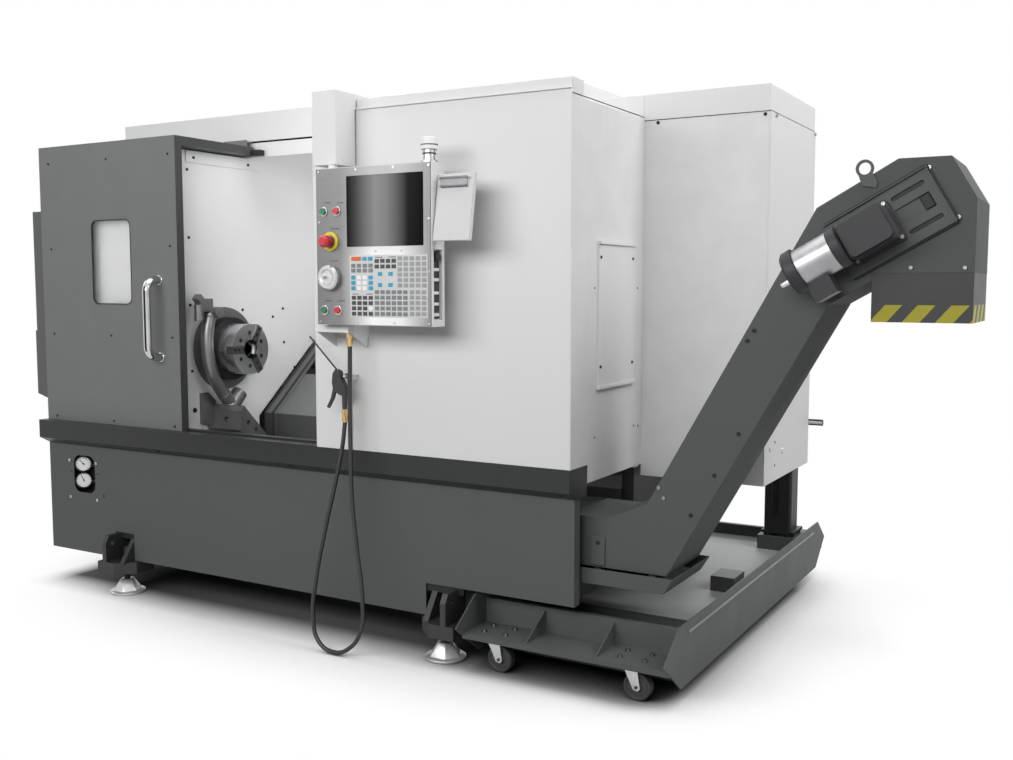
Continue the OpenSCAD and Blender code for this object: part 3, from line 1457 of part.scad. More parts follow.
module air_hose() {
    steps = 4;
    sides = 10;
    spine = concat([for (i = [0 : len(hose_route) - 2], k = [0 : steps - 1]) route_at(i, k / steps)],
        [hose_route[len(hose_route) - 1]]);
    last = len(spine) - 1;
    rings = [for (i = [0 : last]) let (way = i == 0 || i == last ? [0, 0, i == 0 ? -1 : 1]
            : unit(spine[i + 1] - spine[i - 1]),
        across = unit(cross(way, [0, 1, 0])), out = cross(across, way))
        [for (k = [0 : sides - 1]) spine[i] + hose_d / 2 * (cos(k * 360 / sides) * across
            + sin(k * 360 / sides) * out)]];
    color(black) polyhedron([for (ring = rings) each ring],
        concat([[for (k = [0 : sides - 1]) k]],
            [for (i = [0 : last - 1], k = [0 : sides - 1]) let (next = (k + 1) % sides)
                [i * sides + k, (i + 1) * sides + k, (i + 1) * sides + next, i * sides + next]],
            [[for (k = [sides - 1 : -1 : 0]) last * sides + k]]));
}

module hose_fittings() {
    top = hose_route[0];
    end = hose_route[len(hose_route) - 1];
    color(brass) {
        rod_z(top[0], top[1], fitting_d, top[2], top[2] + 30);
        translate([top[0], top[1], top[2] + 29]) cylinder(d = 24, h = shelf_low - top[2] - 29, $fn = 6);
        rod_z(end[0], end[1], fitting_d, end[2], end[2] + 22);
        translate([end[0], end[1], end[2] + 21]) cylinder(d = 22, h = 24, $fn = 6);
    }
}

gun_end = hose_route[len(hose_route) - 1];
gun_foot = [gun_end[0], gun_end[2] + 45];
gun_pivot = [gun_foot[0] - 38, gun_foot[1] + 112];
nozzle_tip = [298, 1104];
trigger_t = 10;

module air_gun() {
    nose = [gun_foot[0] - 26, gun_foot[1] + 128];
    run = nozzle_tip - nose;
    color(black) {
        // Grip tube
        translate([gun_foot[0], gun_end[1], gun_foot[1]]) cylinder(d1 = 17, d2 = 20, h = 58);
        difference() {
            along_y(gun_y - 11, gun_y + 9) polygon([[gun_foot[0] - 11, gun_foot[1] + 48],
                [gun_foot[0] + 9, gun_foot[1] + 48], [gun_foot[0] + 10, gun_foot[1] + 72],
                [gun_foot[0] - 8, gun_foot[1] + 106], [nose[0] + 10, nose[1] + 4], [nose[0] - 6, nose[1] + 10],
                [gun_foot[0] - 44, gun_foot[1] + 122], [gun_foot[0] - 48, gun_foot[1] + 92],
                [gun_foot[0] - 42, gun_foot[1] + 62], [gun_foot[0] - 24, gun_foot[1] + 54]]);
            // Slot for the trigger
            along_y(gun_y - trigger_t / 2 - pass_gap, gun_y + trigger_t / 2 + pass_gap)
                polygon([[gun_foot[0] - 60, gun_foot[1] + 40], [gun_foot[0] - 25, gun_foot[1] + 40],
                    [gun_foot[0] - 25, gun_foot[1] + 102], [gun_foot[0] - 30, gun_foot[1] + 124],
                    [gun_foot[0] - 60, gun_foot[1] + 128]]);
            rod_y(gun_pivot[0], gun_pivot[1], 6 + 2 * run_gap, gun_y - 20, gun_y + 20);
        }
        // Nozzle tube
        translate([nose[0], gun_y, nose[1]]) rotate([0, atan2(run[0], run[1]), 0]) cylinder(d = 6, h = norm(run));
        // Hanging ring round the peg
        translate([peg_x, gun_y, peg_z]) rotate([90, 0, 0]) rotate_extrude()
            translate([peg_d / 2 + 0.3 + 2.5, 0]) circle(d = 5);
        block([gun_foot[0] - 10, gun_y - 2.5, peg_z - 6], [peg_x - peg_d / 2 - 1.5, gun_y + 2.5, peg_z]);
    }
}

module gun_trigger() {
    p = gun_pivot;
    color(black) {
        along_y(gun_y - trigger_t / 2, gun_y + trigger_t / 2) polygon([[p[0] - 5, p[1] + 4], [p[0] + 5, p[1] + 4],
            [p[0] + 2, p[1] - 40], [p[0] - 8, p[1] - 76], [p[0] - 30, p[1] - 112], [p[0] - 38, p[1] - 108],
            [p[0] - 20, p[1] - 76], [p[0] - 10, p[1] - 40]]);
        rod_y(p[0], p[1], 6, gun_y - 11, gun_y + 9);
    }
}

to_frame() base_frame();
to_frame() front_skirt();
to_frame() front_rail();
to_frame() left_end_cover();
to_frame() spindle_wall();
to_frame() front_panel();
to_frame() right_side_panel();
to_frame() access_cover();
to_frame() roof_header();
to_frame() rear_panel();
to_frame() cabinet_body();
to_frame() cabinet_lid();
to_frame() cabinet_door();
to_frame() headstock();
to_frame() way_cover();
to_frame() tool_setter_base();
to_frame() pendant_post();
to_frame() pendant_bracket();
to_frame() levelling_feet();
to_frame() pressure_gauges();
to_frame() coolant_tank();
to_frame() coolant_pump();
to_frame() caster_forks();
to_frame() conveyor_housing();
to_frame() conveyor_belt();
to_frame() conveyor_chute();
to_frame() conveyor_motor();
to_frame() conveyor_gearbox();
to_frame() motor_slide_plate();
to_frame() lifting_eye();
to_frame() drip_tray();
to_frame() air_hose();
to_frame() hose_fittings();
to_frame() air_gun();
to_frame() door_panel();
to_frame() door_window();
to_frame() door_handle();
to_frame() pendant_case();
to_frame() pendant_face();
to_frame() pendant_screen();
to_frame() beacon_light();
to_frame() clipboard();
to_frame() estop_button();
to_frame() jog_wheel();
to_frame() green_start_button();
to_frame() red_hold_button();
to_frame() green_power_button();
to_frame() red_power_button();
to_frame() spindle();
to_frame() chuck_body();
to_frame() chuck_jaw_1();
to_frame() chuck_jaw_2();
to_frame() chuck_jaw_3();
to_frame() tool_setter_arm();
to_frame() saddle();
to_frame() turret_slide();
to_frame() turret_disc();
to_frame() caster_wheels_left();
to_frame() caster_wheels_right();
to_frame() gun_trigger();
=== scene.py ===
# %% [markdown]
# # A slant-bed turning lathe
# The machine's solids come from a CAD model that is already the right size. This lesson gives them the
# finishes of the real machine and adds what a workshop fitter would add by hand: screws, keys, seals, bolts
# and the air hose. Nothing from the CAD model is moved.

import math

import bmesh
import bpy
from mathutils import Matrix, Vector


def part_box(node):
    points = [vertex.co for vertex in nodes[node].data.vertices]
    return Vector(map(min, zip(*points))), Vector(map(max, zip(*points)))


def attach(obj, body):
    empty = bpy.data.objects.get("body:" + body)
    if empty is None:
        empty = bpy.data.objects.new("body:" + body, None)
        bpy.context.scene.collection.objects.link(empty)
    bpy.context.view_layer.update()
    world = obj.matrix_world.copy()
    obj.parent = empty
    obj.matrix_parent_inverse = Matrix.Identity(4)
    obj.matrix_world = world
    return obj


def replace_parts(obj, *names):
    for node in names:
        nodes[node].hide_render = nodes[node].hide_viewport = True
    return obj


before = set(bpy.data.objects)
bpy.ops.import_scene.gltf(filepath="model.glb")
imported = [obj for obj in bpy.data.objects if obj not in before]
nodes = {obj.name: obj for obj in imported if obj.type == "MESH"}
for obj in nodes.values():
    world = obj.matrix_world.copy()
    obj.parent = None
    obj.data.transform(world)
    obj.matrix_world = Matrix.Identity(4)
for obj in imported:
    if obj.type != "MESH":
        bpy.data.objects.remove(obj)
scene = bpy.context.scene
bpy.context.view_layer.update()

# %% [markdown]
# ## The camera
# The photograph was taken with a short lens at chest height, a little to the machine's right. The angles
# and the focal length were found by fitting the machine's long edges, so the lens needs no shift.

# %% Camera
MM = 0.001
LENS_MM, SENSOR_MM = 37.84, 36.0
CAMERA_PLACE = (2.2544, -3.7772, 1.280)
CAMERA_TILT, CAMERA_TURN = 84.96, 30.04
FAR_CLIP = 60.0
camera_data = bpy.data.cameras.new("photo_camera")
camera_data.lens = LENS_MM
camera_data.sensor_width = SENSOR_MM
camera_data.clip_end = FAR_CLIP
camera = bpy.data.objects.new("photo_camera", camera_data)
camera.location = CAMERA_PLACE
camera.rotation_euler = (math.radians(CAMERA_TILT), 0.0, math.radians(CAMERA_TURN))
scene.collection.objects.link(camera)
scene.camera = camera
print("camera height in metres:", CAMERA_PLACE[2])

# %% [markdown]
# ## Shader sums in Python
# A material in Blender is a graph of nodes, which is slow to read as code. A small class stands for one
# socket of the graph, and its operators add the Math nodes, so that a mask reads like a formula.


# %% Sockets with operators
class Field:
    """A number that changes over a surface."""

    def __init__(self, graph, socket):
        self.graph = graph
        self.socket = socket

    def apply(self, operation, *others):
        values = dict(enumerate((self, *others)))
        made = self.graph.node("ShaderNodeMath", {"operation": operation}, values)
        return Field(self.graph, made.outputs[0])

    def __add__(self, other):
        return self.apply("ADD", other)

    __radd__ = __add__

    def __mul__(self, other):
        return self.apply("MULTIPLY", other)

    __rmul__ = __mul__

    def __sub__(self, other):
        return self.apply("SUBTRACT", other)

    def __rsub__(self, other):
        return (self * -1.0) + other

    def __gt__(self, edge):
        return self.apply("GREATER_THAN", edge)

    def __lt__(self, edge):
        return self.apply("LESS_THAN", edge)

    def __mod__(self, step):
        return self.apply("FLOORED_MODULO", step)

    def __abs__(self):
        return self.apply("ABSOLUTE")

    def clamp(self, low, high):
        """The part of the field between low and high, spread over 0 to 1."""
        values = {"Value": self, "From Min": low, "From Max": high}
        made = self.graph.node("ShaderNodeMapRange", {"clamp": True}, values)
        return Field(self.graph, made.outputs[0])


# %% [markdown]
# ## Graphs and finishes
# A material and the world both keep a node tree, so one class adds nodes to either. It sets a node's
# choices first, because they change which sockets the node has. A finish is such a graph with the patterns
# of a surface.


# %% Node trees
class Graph:
    """A node tree that is built node by node."""

    def __init__(self, owner):
        owner.use_nodes = True
        self.tree = owner.node_tree

    def node(self, kind, settings=None, values=None):
        """Any node: its settings first, and then the values or links of its sockets."""
        made = self.tree.nodes.new(kind)
        for name, value in (settings or {}).items():
            if name == "stops":
                self.set_stops(made.color_ramp, value)
            else:
                setattr(made, name, value)
        for name, value in (values or {}).items():
            self.feed(made.inputs[name], value)
        return made

    def set_stops(self, ramp, stops):
        """Pairs of a place on the ramp and a grey tone."""
        while len(ramp.elements) < len(stops):
            ramp.elements.new(1.0)
        for element, (position, tone) in zip(ramp.elements, stops):
            element.position = position
            element.color = (tone, tone, tone, 1.0)

    def feed(self, socket, value):
        if isinstance(value, Field):
            value = value.socket
        if isinstance(value, bpy.types.NodeSocket):
            self.tree.links.new(value, socket)
        elif socket.type == "RGBA":
            socket.default_value = (*value, 1.0)
        else:
            socket.default_value = value

    def looked_at(self):
        """1 for rays from the camera, from shiny metal and through glass."""
        rays = self.node("ShaderNodeLightPath").outputs
        kinds = ("Is Camera Ray", "Is Glossy Ray", "Is Transmission Ray")
        return sum(Field(self, rays[kind]) for kind in kinds).clamp(0.0, 1.0)


# %% Materials
class Finish(Graph):
    """A material, with the patterns and the sockets that its formulas use."""

    def __init__(self, name, **constants):
        self.material = bpy.data.materials.new(name)
        super().__init__(self.material)
        self.surface = self.tree.nodes["Principled BSDF"]
        self.position = None
        for socket, value in constants.items():
            self.surface.inputs[socket.replace("_", " ")].default_value = value

    def point(self):
        if self.position is None:
            self.position = self.node("ShaderNodeTexCoord").outputs["Object"]
        return self.position

    def axes(self):
        split = self.node("ShaderNodeSeparateXYZ", None, {"Vector": self.point()})
        return [Field(self, socket) for socket in split.outputs]

    def stretched(self, scale):
        values = {"Vector": self.point(), "Scale": scale}
        return self.node("ShaderNodeMapping", {"vector_type": "POINT"}, values).outputs[0]

    def noise(self, scale, detail, vector=None):
        values = {"Vector": vector or self.point(), "Scale": scale, "Detail": detail}
        return Field(self, self.node("ShaderNodeTexNoise", None, values).outputs["Fac"])

    def mix(self, mask, first, second):
        settings = {"data_type": "RGBA"}
        return self.node("ShaderNodeMix", settings, {0: mask, 6: first, 7: second}).outputs[2]

    def colour(self, value):
        self.feed(self.surface.inputs["Base Color"], value)

    def rough(self, value):
        self.feed(self.surface.inputs["Roughness"], value)

    def relief(self, height, depth, edge):
        """Bump of a height field, over edges that are rounded by the radius edge."""
        rounded = self.node("ShaderNodeBevel", {"samples": 4}, {"Radius": edge}).outputs[0]
        values = {"Height": height, "Distance": depth, "Strength": 1.0, "Normal": rounded}
        bump = self.node("ShaderNodeBump", None, values)
        self.feed(self.surface.inputs["Normal"], bump.outputs[0])


def toned(base, factor):
    """A colour made darker or lighter."""
    return tuple(min(1.0, part * factor) for part in base)


# %% [markdown]
# ## Powder coat
# Folded sheet on a machine like this is powder coated. From a few metres off, the coat is plain, but a
# close look shows fine orange peel, slow changes of tone and bends that catch the light on a small radius.
# Noise at three scales gives all of that, and a Bevel node rounds the bends without more faces.

# %% Painted sheet
PEEL_SCALE, PEEL_DEPTH, BEND_RADIUS = 900.0, 0.00004, 0.0015


def powder_coat(name, base, roughness, spread=0.035, gloss=0.18):
    finish = Finish(name, Roughness=roughness, Specular_IOR_Level=gloss)
    drift = finish.noise(1.3, 3.0)
    dust = finish.noise(9.0, 4.0)
    tone = (drift * 0.6 + dust * 0.4).clamp(0.3, 0.7)
    finish.colour(finish.mix(tone, toned(base, 1.0 - spread), toned(base, 1.0 + spread)))
    finish.rough(roughness + (dust - 0.5) * 0.12)
    finish.relief(finish.noise(PEEL_SCALE, 1.0), PEEL_DEPTH, BEND_RADIUS)
    return finish.material


WHITE = (0.68, 0.68, 0.68)
GRAPHITE = (0.094, 0.098, 0.097)
# The darker second tone on the next line is painted shade, for the door's right return and the way cover's
# apron.
DOOR, EDGE_SHADE = (0.168, 0.172, 0.171), (0.06, 0.062, 0.061)
DARK = (0.022, 0.023, 0.023)
white_paint = powder_coat("white_paint", WHITE, 0.5, 0.012)
graphite_paint = powder_coat("graphite_paint", GRAPHITE, 0.52)
conveyor_paint = powder_coat("conveyor_paint", (0.104, 0.108, 0.107), 0.62, gloss=0.03)
cover_paint = powder_coat("cover_paint", (0.112, 0.115, 0.114), 0.48)
board_paint = powder_coat("board_paint", (0.58, 0.58, 0.58), 0.5)
rail_paint = powder_coat("rail_paint", (0.035, 0.036, 0.037), 0.38)
black_paint = powder_coat("black_paint", DARK, 0.45)
drive_paint = powder_coat("drive_paint", (0.045, 0.045, 0.048), 0.42)
print("painted finishes:", len(bpy.data.materials))

# %% [markdown]
# ## Bare metal
# Ground, plated and chromed parts differ mostly in how rough they are and how long their grinding lines
# run. The lines are noise that is stretched along one axis, and they drive the roughness as well as the
# bump.

# %% Ground and plated metals
TURNED_GRAIN, TURNED_DEPTH, METAL_EDGE = (420.0, 5.0, 5.0), 0.000008, 0.0006


def ground_metal(name, base, roughness, grain=(6.0, 400.0, 400.0), depth=0.00002):
    """Metal with grinding lines that are drawn out along one axis."""
    finish = Finish(name, Metallic=1.0, Roughness=roughness)
    lines = finish.noise(1.0, 3.0, finish.stretched(grain))
    stain = finish.noise(14.0, 3.0)
    finish.colour(finish.mix(stain.clamp(0.3, 0.75), base, toned(base, 0.82)))
    finish.rough(roughness + (lines - 0.5) * 0.25)
    finish.relief(lines, depth, METAL_EDGE)
    return finish.material


turret_steel = ground_metal("turret_steel", (0.64, 0.64, 0.65), 0.3, TURNED_GRAIN, TURNED_DEPTH)
dark_steel = ground_metal("dark_steel", (0.16, 0.16, 0.165), 0.4)
zinc_plate = ground_metal("zinc_plate", (0.55, 0.55, 0.56), 0.28, (60.0, 60.0, 60.0), 0.000004)
motor_silver = ground_metal("motor_silver", (0.38, 0.38, 0.39), 0.34, (80.0, 80.0, 80.0), 0.000002)
chrome = ground_metal("handle_chrome", (0.62, 0.62, 0.63), 0.08, (40.0, 40.0, 40.0), 0.000002)
brass = ground_metal("fitting_brass", (0.66, 0.47, 0.20), 0.27, (90.0, 90.0, 90.0), 0.000006)
bolt_steel = ground_metal("bolt_steel", (0.28, 0.28, 0.285), 0.34, (60.0, 60.0, 60.0), 0.000004)
print("finishes so far:", len(bpy.data.materials))

# %% [markdown]
# ## The turned chuck
# A chuck's face shows the fine rings of the lathe that made it, and its bore is painted dark as shade. The
# painted shade depends on the distance from the spindle's axis, which is worked out from two coordinates, so
# the mask needs no extra mesh.

# %% Turned steel
CHUCK_Y, CHUCK_Z = -0.476, 1.018


def turned_steel(name, base, bore):
    """Steel with the rings of a turned face, and painted shade that darkens it inside the bore."""
    finish = Finish(name, Metallic=1.0, Roughness=0.3)
    _, y, z = finish.axes()
    off_y, off_z = y - CHUCK_Y, z - CHUCK_Z
    radius = (off_y * off_y + off_z * off_z).apply("SQRT")
    rings = finish.noise(1.0, 3.0, finish.stretched(TURNED_GRAIN))
    # Inside the bore the colour turns near black: painted shade.
    finish.colour(finish.mix(radius.clamp(bore * 0.8, bore), (0.02, 0.02, 0.02), base))
    finish.rough(rings * 0.25 + 0.18)
    finish.relief(rings, TURNED_DEPTH, METAL_EDGE)
    return finish.material


chuck_steel = turned_steel("chuck_steel", (0.62, 0.62, 0.63), 0.036)
jaw_steel = turned_steel("jaw_steel", (0.24, 0.24, 0.245), 0.046)
print("chuck's axis at y, z:", CHUCK_Y, CHUCK_Z)

# %% [markdown]
# ## Castings
# Cast iron keeps the grain of the sand it was poured in, and grime settles in its hollows. A rough bump and
# a slow change of tone show that. The tool setter and the feet are blasted bright, so they are partly
# metal.


# %% Cast iron
def casting(name, base, roughness=0.55, metal=0.0):
    finish = Finish(name, Roughness=roughness, Metallic=metal)
    skin = finish.noise(160.0, 3.0)
    grime = finish.noise(7.0, 4.0)
    finish.colour(finish.mix(grime.clamp(0.35, 0.7), toned(base, 0.75), base))
    finish.rough(roughness + (grime - 0.5) * 0.2)
    finish.relief(skin, 0.0004, 0.002)
    return finish.material


setter_iron = casting("setter_iron", (0.24, 0.243, 0.244), 0.34, 0.7)
bed_iron = casting("bed_iron", (0.12, 0.122, 0.124))
bracket_iron = casting("bracket_iron", (0.022, 0.022, 0.023))
foot_zinc = casting("foot_zinc", (0.74, 0.74, 0.745), 0.3, 0.55)
print("finishes so far:", len(bpy.data.materials))

# %% [markdown]
# ## Plastics and rubber
# Buttons, hose and wheels are moulded, so their skin is even, with a very fine grain. One helper makes them
# all, and a clear coat gives the buttons their shine.


# %% Plastics and rubber
def moulded(name, base, roughness, coat=0.0):
    finish = Finish(name, Roughness=roughness, Coat_Weight=coat)
    cloud = finish.noise(40.0, 2.0)
    finish.colour(finish.mix(cloud.clamp(0.3, 0.7), base, toned(base, 1.08)))
    finish.rough(roughness + (cloud - 0.5) * 0.1)
    finish.relief(finish.noise(1400.0, 1.0), 0.00002, 0.0005)
    return finish.material


black_rubber = moulded("black_rubber", (0.016, 0.016, 0.017), 0.6)
black_plastic = moulded("black_plastic", (0.02, 0.02, 0.021), 0.4)
red_plastic = moulded("red_plastic", (0.52, 0.012, 0.016), 0.28, 0.4)
green_plastic = moulded("green_plastic", (0.008, 0.16, 0.055), 0.28, 0.4)
yellow_plastic = moulded("yellow_plastic", (0.72, 0.56, 0.015), 0.35)
pale_plastic = moulded("pale_plastic", (0.72, 0.72, 0.70), 0.4)
wheel_rubber = moulded("wheel_rubber", (0.03, 0.03, 0.031), 0.55)
hose_rubber = moulded("hose_rubber", (0.014, 0.0142, 0.016), 0.36)
knob_alloy = ground_metal("knob_alloy", (0.56, 0.56, 0.565), 0.3, (200.0, 200.0, 200.0))
print("finishes so far:", len(bpy.data.materials))

# %% [markdown]
# ## Glass and display
# The door's window is safety glass and lets light through. The pendant's display is dark behind glass, with
# a painted reflection: the soft grey band that a switched-off screen shows under a lamp, lighter a third of
# the way across.

# %% Window and screen
window_glass = Finish("window_glass", Roughness=0.03, IOR=1.45, Transmission_Weight=1.0)
window_smear = window_glass.noise(6.0, 3.0)
window_glass.colour(window_glass.mix(window_smear, (0.93, 0.94, 0.935), (0.98, 0.985, 0.98)))
window_glass.rough(window_smear * 0.05 + 0.01)

screen_glass = Finish("screen_glass", Roughness=0.3, Specular_IOR_Level=0.02)
screen_low, screen_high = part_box("pendant_screen")
screen_x = screen_glass.axes()[0].clamp(screen_low.x, screen_high.x)
# This ramp paints a reflection: a soft grey band, lighter a third of the way across.
band = {"stops": [(0.0, 0.006), (0.12, 0.06), (0.38, 0.26), (0.52, 0.22), (0.8, 0.014), (1.0, 0.003)]}
screen_painted_reflection = screen_glass.node("ShaderNodeValToRGB", band, {"Fac": screen_x}).outputs["Color"]
screen_smear = screen_glass.noise(8.0, 3.0)
screen_glass.colour(screen_glass.mix(screen_smear * 0.02, screen_painted_reflection, (0.1, 0.1, 0.1)))
screen_glass.rough(screen_smear * 0.1 + 0.25)
print("display's width in metres:", round(screen_high.x - screen_low.x, 3))

# %% [markdown]
# ## The pendant's face
# The face is brushed stainless steel, which shows bands of light and dark from the room round it. They are
# a painted reflection: a ramp across the face sets them in the colour, and the top of the face is painted
# darker as shade. Noise that is stretched sideways gives the brush lines.

# %% Brushed face
face_steel = Finish("face_steel", Metallic=0.35, Roughness=0.42)
face_low, face_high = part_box("pendant_face")
face_x, _, face_z = face_steel.axes()
face_u = face_x.clamp(face_low.x, face_high.x)
# This ramp paints the reflection's bands of light and dark into the colour.
sheen = {"stops": [(0.0, 0.13), (0.22, 0.17), (0.5, 0.80), (0.75, 0.72), (1.0, 0.16)]}
face_painted_reflection = face_steel.node("ShaderNodeValToRGB", sheen, {"Fac": face_u}).outputs["Color"]
brush = face_steel.noise(1.0, 3.0, face_steel.stretched((8.0, 900.0, 900.0)))
# The top of the face is painted darker: painted shade.
upper = face_z.clamp(face_low.z + 0.2, face_low.z + 0.35)
face_tone = face_steel.mix(upper * 0.75, face_painted_reflection, (0.15, 0.15, 0.15))
face_steel.colour(face_steel.mix(brush * 0.25, face_tone, (0.45, 0.45, 0.45)))
face_steel.rough(brush * 0.2 + 0.32)
face_steel.relief(brush, 0.00002, METAL_EDGE)
print("face's height in metres:", round(face_high.z - face_low.z, 3))

# %% [markdown]
# ## The chute's stripes
# The rubber chute ends in a hem with slanted yellow stripes. They are a repeating step along a slanted
# direction, cut off at the hem's height, so they bend round the chute's corners by themselves.

# %% Striped chute
STRIPE_PITCH, STRIPE_WIDTH, STRIPE_SLANT, STRIPE_START, HEM_HEIGHT = 0.086, 0.046, 0.85, 0.004, 0.048
striped_rubber = Finish("striped_rubber", Roughness=0.5, Specular_IOR_Level=0.2)
chute_x, chute_y, chute_z = striped_rubber.axes()
chute_low, chute_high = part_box("conveyor_chute")
rise = (chute_z - chute_low.z) * STRIPE_SLANT
slant = (chute_x + chute_y - rise - chute_low.x - chute_low.y + STRIPE_START) % STRIPE_PITCH
hem = (slant < STRIPE_WIDTH) * (chute_z < chute_low.z + HEM_HEIGHT)
scuff = striped_rubber.noise(30.0, 4.0)
rubber_tone = striped_rubber.mix(scuff, (0.048, 0.048, 0.049), (0.068, 0.068, 0.069))
yellow_tone = striped_rubber.mix(scuff, (0.34, 0.31, 0.03), (0.40, 0.37, 0.045))
striped_rubber.colour(striped_rubber.mix(hem, rubber_tone, yellow_tone))
striped_rubber.rough(scuff * 0.2 + 0.4)
striped_rubber.relief(scuff, 0.0003, 0.001)
print("stripes along the chute:", round((chute_high.x - chute_low.x) / STRIPE_PITCH, 1))

# %% [markdown]
# ## Finishes that change over one piece
# Some pieces carry more than one finish: the door's right return and the way cover's apron a darker tone
# that is painted shade, the right wall black legs, the tank's deck a paler tone that is painted sheen with a
# painted highlight along its bead, and the beacon a pale cap on a bright neck. A mask of the coordinates
# parts the two.


# %% Two finishes on one piece
def split_paint(name, where, first, second, roughness, metal=0.0):
    """The second tone and its metal lie where the mask is 1."""
    finish = Finish(name, Roughness=roughness, Specular_IOR_Level=0.18)
    mask = where(*finish.axes())
    cloud = finish.noise(9.0, 4.0).clamp(0.3, 0.7)
    tones = [finish.mix(cloud, toned(tone, 0.96), toned(tone, 1.03)) for tone in (first, second)]
    finish.colour(finish.mix(mask, *tones))
    if metal:
        finish.feed(finish.surface.inputs["Metallic"], mask * metal)
    finish.rough(roughness + (cloud - 0.5) * 0.1)
    finish.relief(finish.noise(PEEL_SCALE, 1.0), PEEL_DEPTH, BEND_RADIUS)
    return finish.material


DECK_Z, DECK_SKIN, DECK_END, DECK_FRONT = 0.162, 0.0008, 1.1265, -0.452
BEAD_X, BEAD_Z, BEAD_HALF = 1.1302, 0.210, 0.006


def deck_sheen_mask(x, y, z):
    """The tank's deck, where a paler tone is painted sheen, and the bead along its right wall, a painted
    highlight.
    """
    deck = (abs(z - DECK_Z) < DECK_SKIN) * (x < DECK_END) * (y > DECK_FRONT)
    bead = (x > BEAD_X) * (abs(z - BEAD_Z) < BEAD_HALF)
    return (deck + bead).clamp(0.0, 1.0)


# %% Split pieces
DOOR_EDGE_X, APRON_Z, LEG_Z, CABINET_BACK_Y = -0.9712, 0.724, 0.64, 0.3115
# The deck's paler tone on the next line is painted sheen.
WAY, DECK_SHEEN, CAP, NECK = (0.135, 0.139, 0.137), (0.27, 0.28, 0.275), (0.72, 0.72, 0.71), (0.42, 0.42, 0.43)
beacon_low, beacon_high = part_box("beacon_light")
neck_top = beacon_low.z + 0.52 * (beacon_high.z - beacon_low.z)
# The darker edge tone of the door and the way cover is painted shade.
door_paint = split_paint("door_paint", lambda x, y, z: x > DOOR_EDGE_X, DOOR, EDGE_SHADE, 0.48)
way_paint = split_paint("way_paint", lambda x, y, z: z < APRON_Z, WAY, EDGE_SHADE, 0.5)
side_paint = split_paint("side_paint", lambda x, y, z: z < LEG_Z, WHITE, DARK, 0.5)
cabinet_paint = split_paint("cabinet_paint", lambda x, y, z: y > CABINET_BACK_Y, WHITE, DARK, 0.5)
# The tank's paler deck is painted sheen, and its bead a painted highlight.
tank_paint = split_paint("tank_paint", deck_sheen_mask, GRAPHITE, DECK_SHEEN, 0.52)
beacon_plastic = split_paint("beacon_plastic", lambda x, y, z: z < neck_top, CAP, NECK, 0.3, 1.0)
print("finishes so far:", len(bpy.data.materials))

# %% [markdown]
# ## Finishes for the CAD pieces
# The CAD model brings plain shapes. A table of finish and pieces is easy to read and to change, and a count
# at the end shows that no piece was missed.

# %% Give every CAD node its finish
finishes = {
    white_paint: ["spindle_wall", "front_panel", "access_cover", "roof_header", "rear_panel",
                  "cabinet_lid", "cabinet_door", "pendant_post", "pendant_bracket", "pendant_case"],
    cabinet_paint: ["cabinet_body"],
    board_paint: ["clipboard"],
    door_paint: ["door_panel"],
    cover_paint: ["left_end_cover"],
    tank_paint: ["coolant_tank"],
    graphite_paint: ["front_skirt", "motor_slide_plate", "lifting_eye"],
    way_paint: ["way_cover"],
    conveyor_paint: ["conveyor_housing", "drip_tray"],
    side_paint: ["right_side_panel"],
    rail_paint: ["front_rail"],
    black_paint: ["coolant_pump", "spindle"],
    drive_paint: ["conveyor_gearbox", "conveyor_motor"],
    bracket_iron: ["base_frame"],
    bed_iron: ["saddle", "turret_slide", "headstock"],
    setter_iron: ["tool_setter_base", "tool_setter_arm"],
    chuck_steel: ["chuck_body"],
    turret_steel: ["turret_disc"],
    dark_steel: ["conveyor_belt"],
    jaw_steel: ["chuck_jaw_1", "chuck_jaw_2", "chuck_jaw_3"],
    zinc_plate: ["levelling_feet", "caster_forks"],
    face_steel.material: ["pendant_face"],
    chrome: ["door_handle"],
    brass: ["hose_fittings"],
    striped_rubber.material: ["conveyor_chute"],
    wheel_rubber: ["caster_wheels_left", "caster_wheels_right"],
    black_plastic: ["air_gun", "gun_trigger", "pressure_gauges"],
    red_plastic: ["estop_button", "red_hold_button", "red_power_button"],
    green_plastic: ["green_start_button", "green_power_button"],
    beacon_plastic: ["beacon_light"],
    knob_alloy: ["jog_wheel"],
    window_glass.material: ["door_window"],
    screen_glass.material: ["pendant_screen"],
}
for finish, names in finishes.items():
    for name in names:
        nodes[name].data.materials.clear()
        nodes[name].data.materials.append(finish)
print("CAD nodes with a finish:", sum(len(names) for names in finishes.values()), "of", len(nodes))

# %% [markdown]
# ## The air hose
# The hose is a fixed length of rubber that hangs in a long loop from the pendant's shelf to the air gun.
# Blender draws it as one curve with a round section, through the same points as the solid in the CAD model.

# %% Hose
HOSE_DIAMETER = 0.015
hose_route = [
    (-0.018, -0.912, 1.076), (-0.019, -0.913, 0.985), (-0.019, -0.915, 0.890), (-0.016, -0.918, 0.720),
    (-0.008, -0.924, 0.550), (0.017, -0.932, 0.380), (0.044, -0.940, 0.212), (0.042, -0.946, 0.108),
    (-0.003, -0.950, 0.038), (-0.075, -0.952, 0.010), (-0.145, -0.950, 0.038), (-0.170, -0.946, 0.128),
    (-0.159, -0.940, 0.254), (-0.122, -0.931, 0.434), (-0.081, -0.919, 0.611), (-0.061, -0.903, 0.740),
    (-0.057, -0.895, 0.812),
]
hose_curve = bpy.data.curves.new("air_hose_line", "CURVE")
hose_curve.dimensions = "3D"
hose_curve.bevel_depth = HOSE_DIAMETER / 2
hose_curve.bevel_resolution = 4
hose_curve.resolution_u = 10
hose_line = hose_curve.splines.new("BEZIER")
hose_line.bezier_points.add(len(hose_route) - 1)
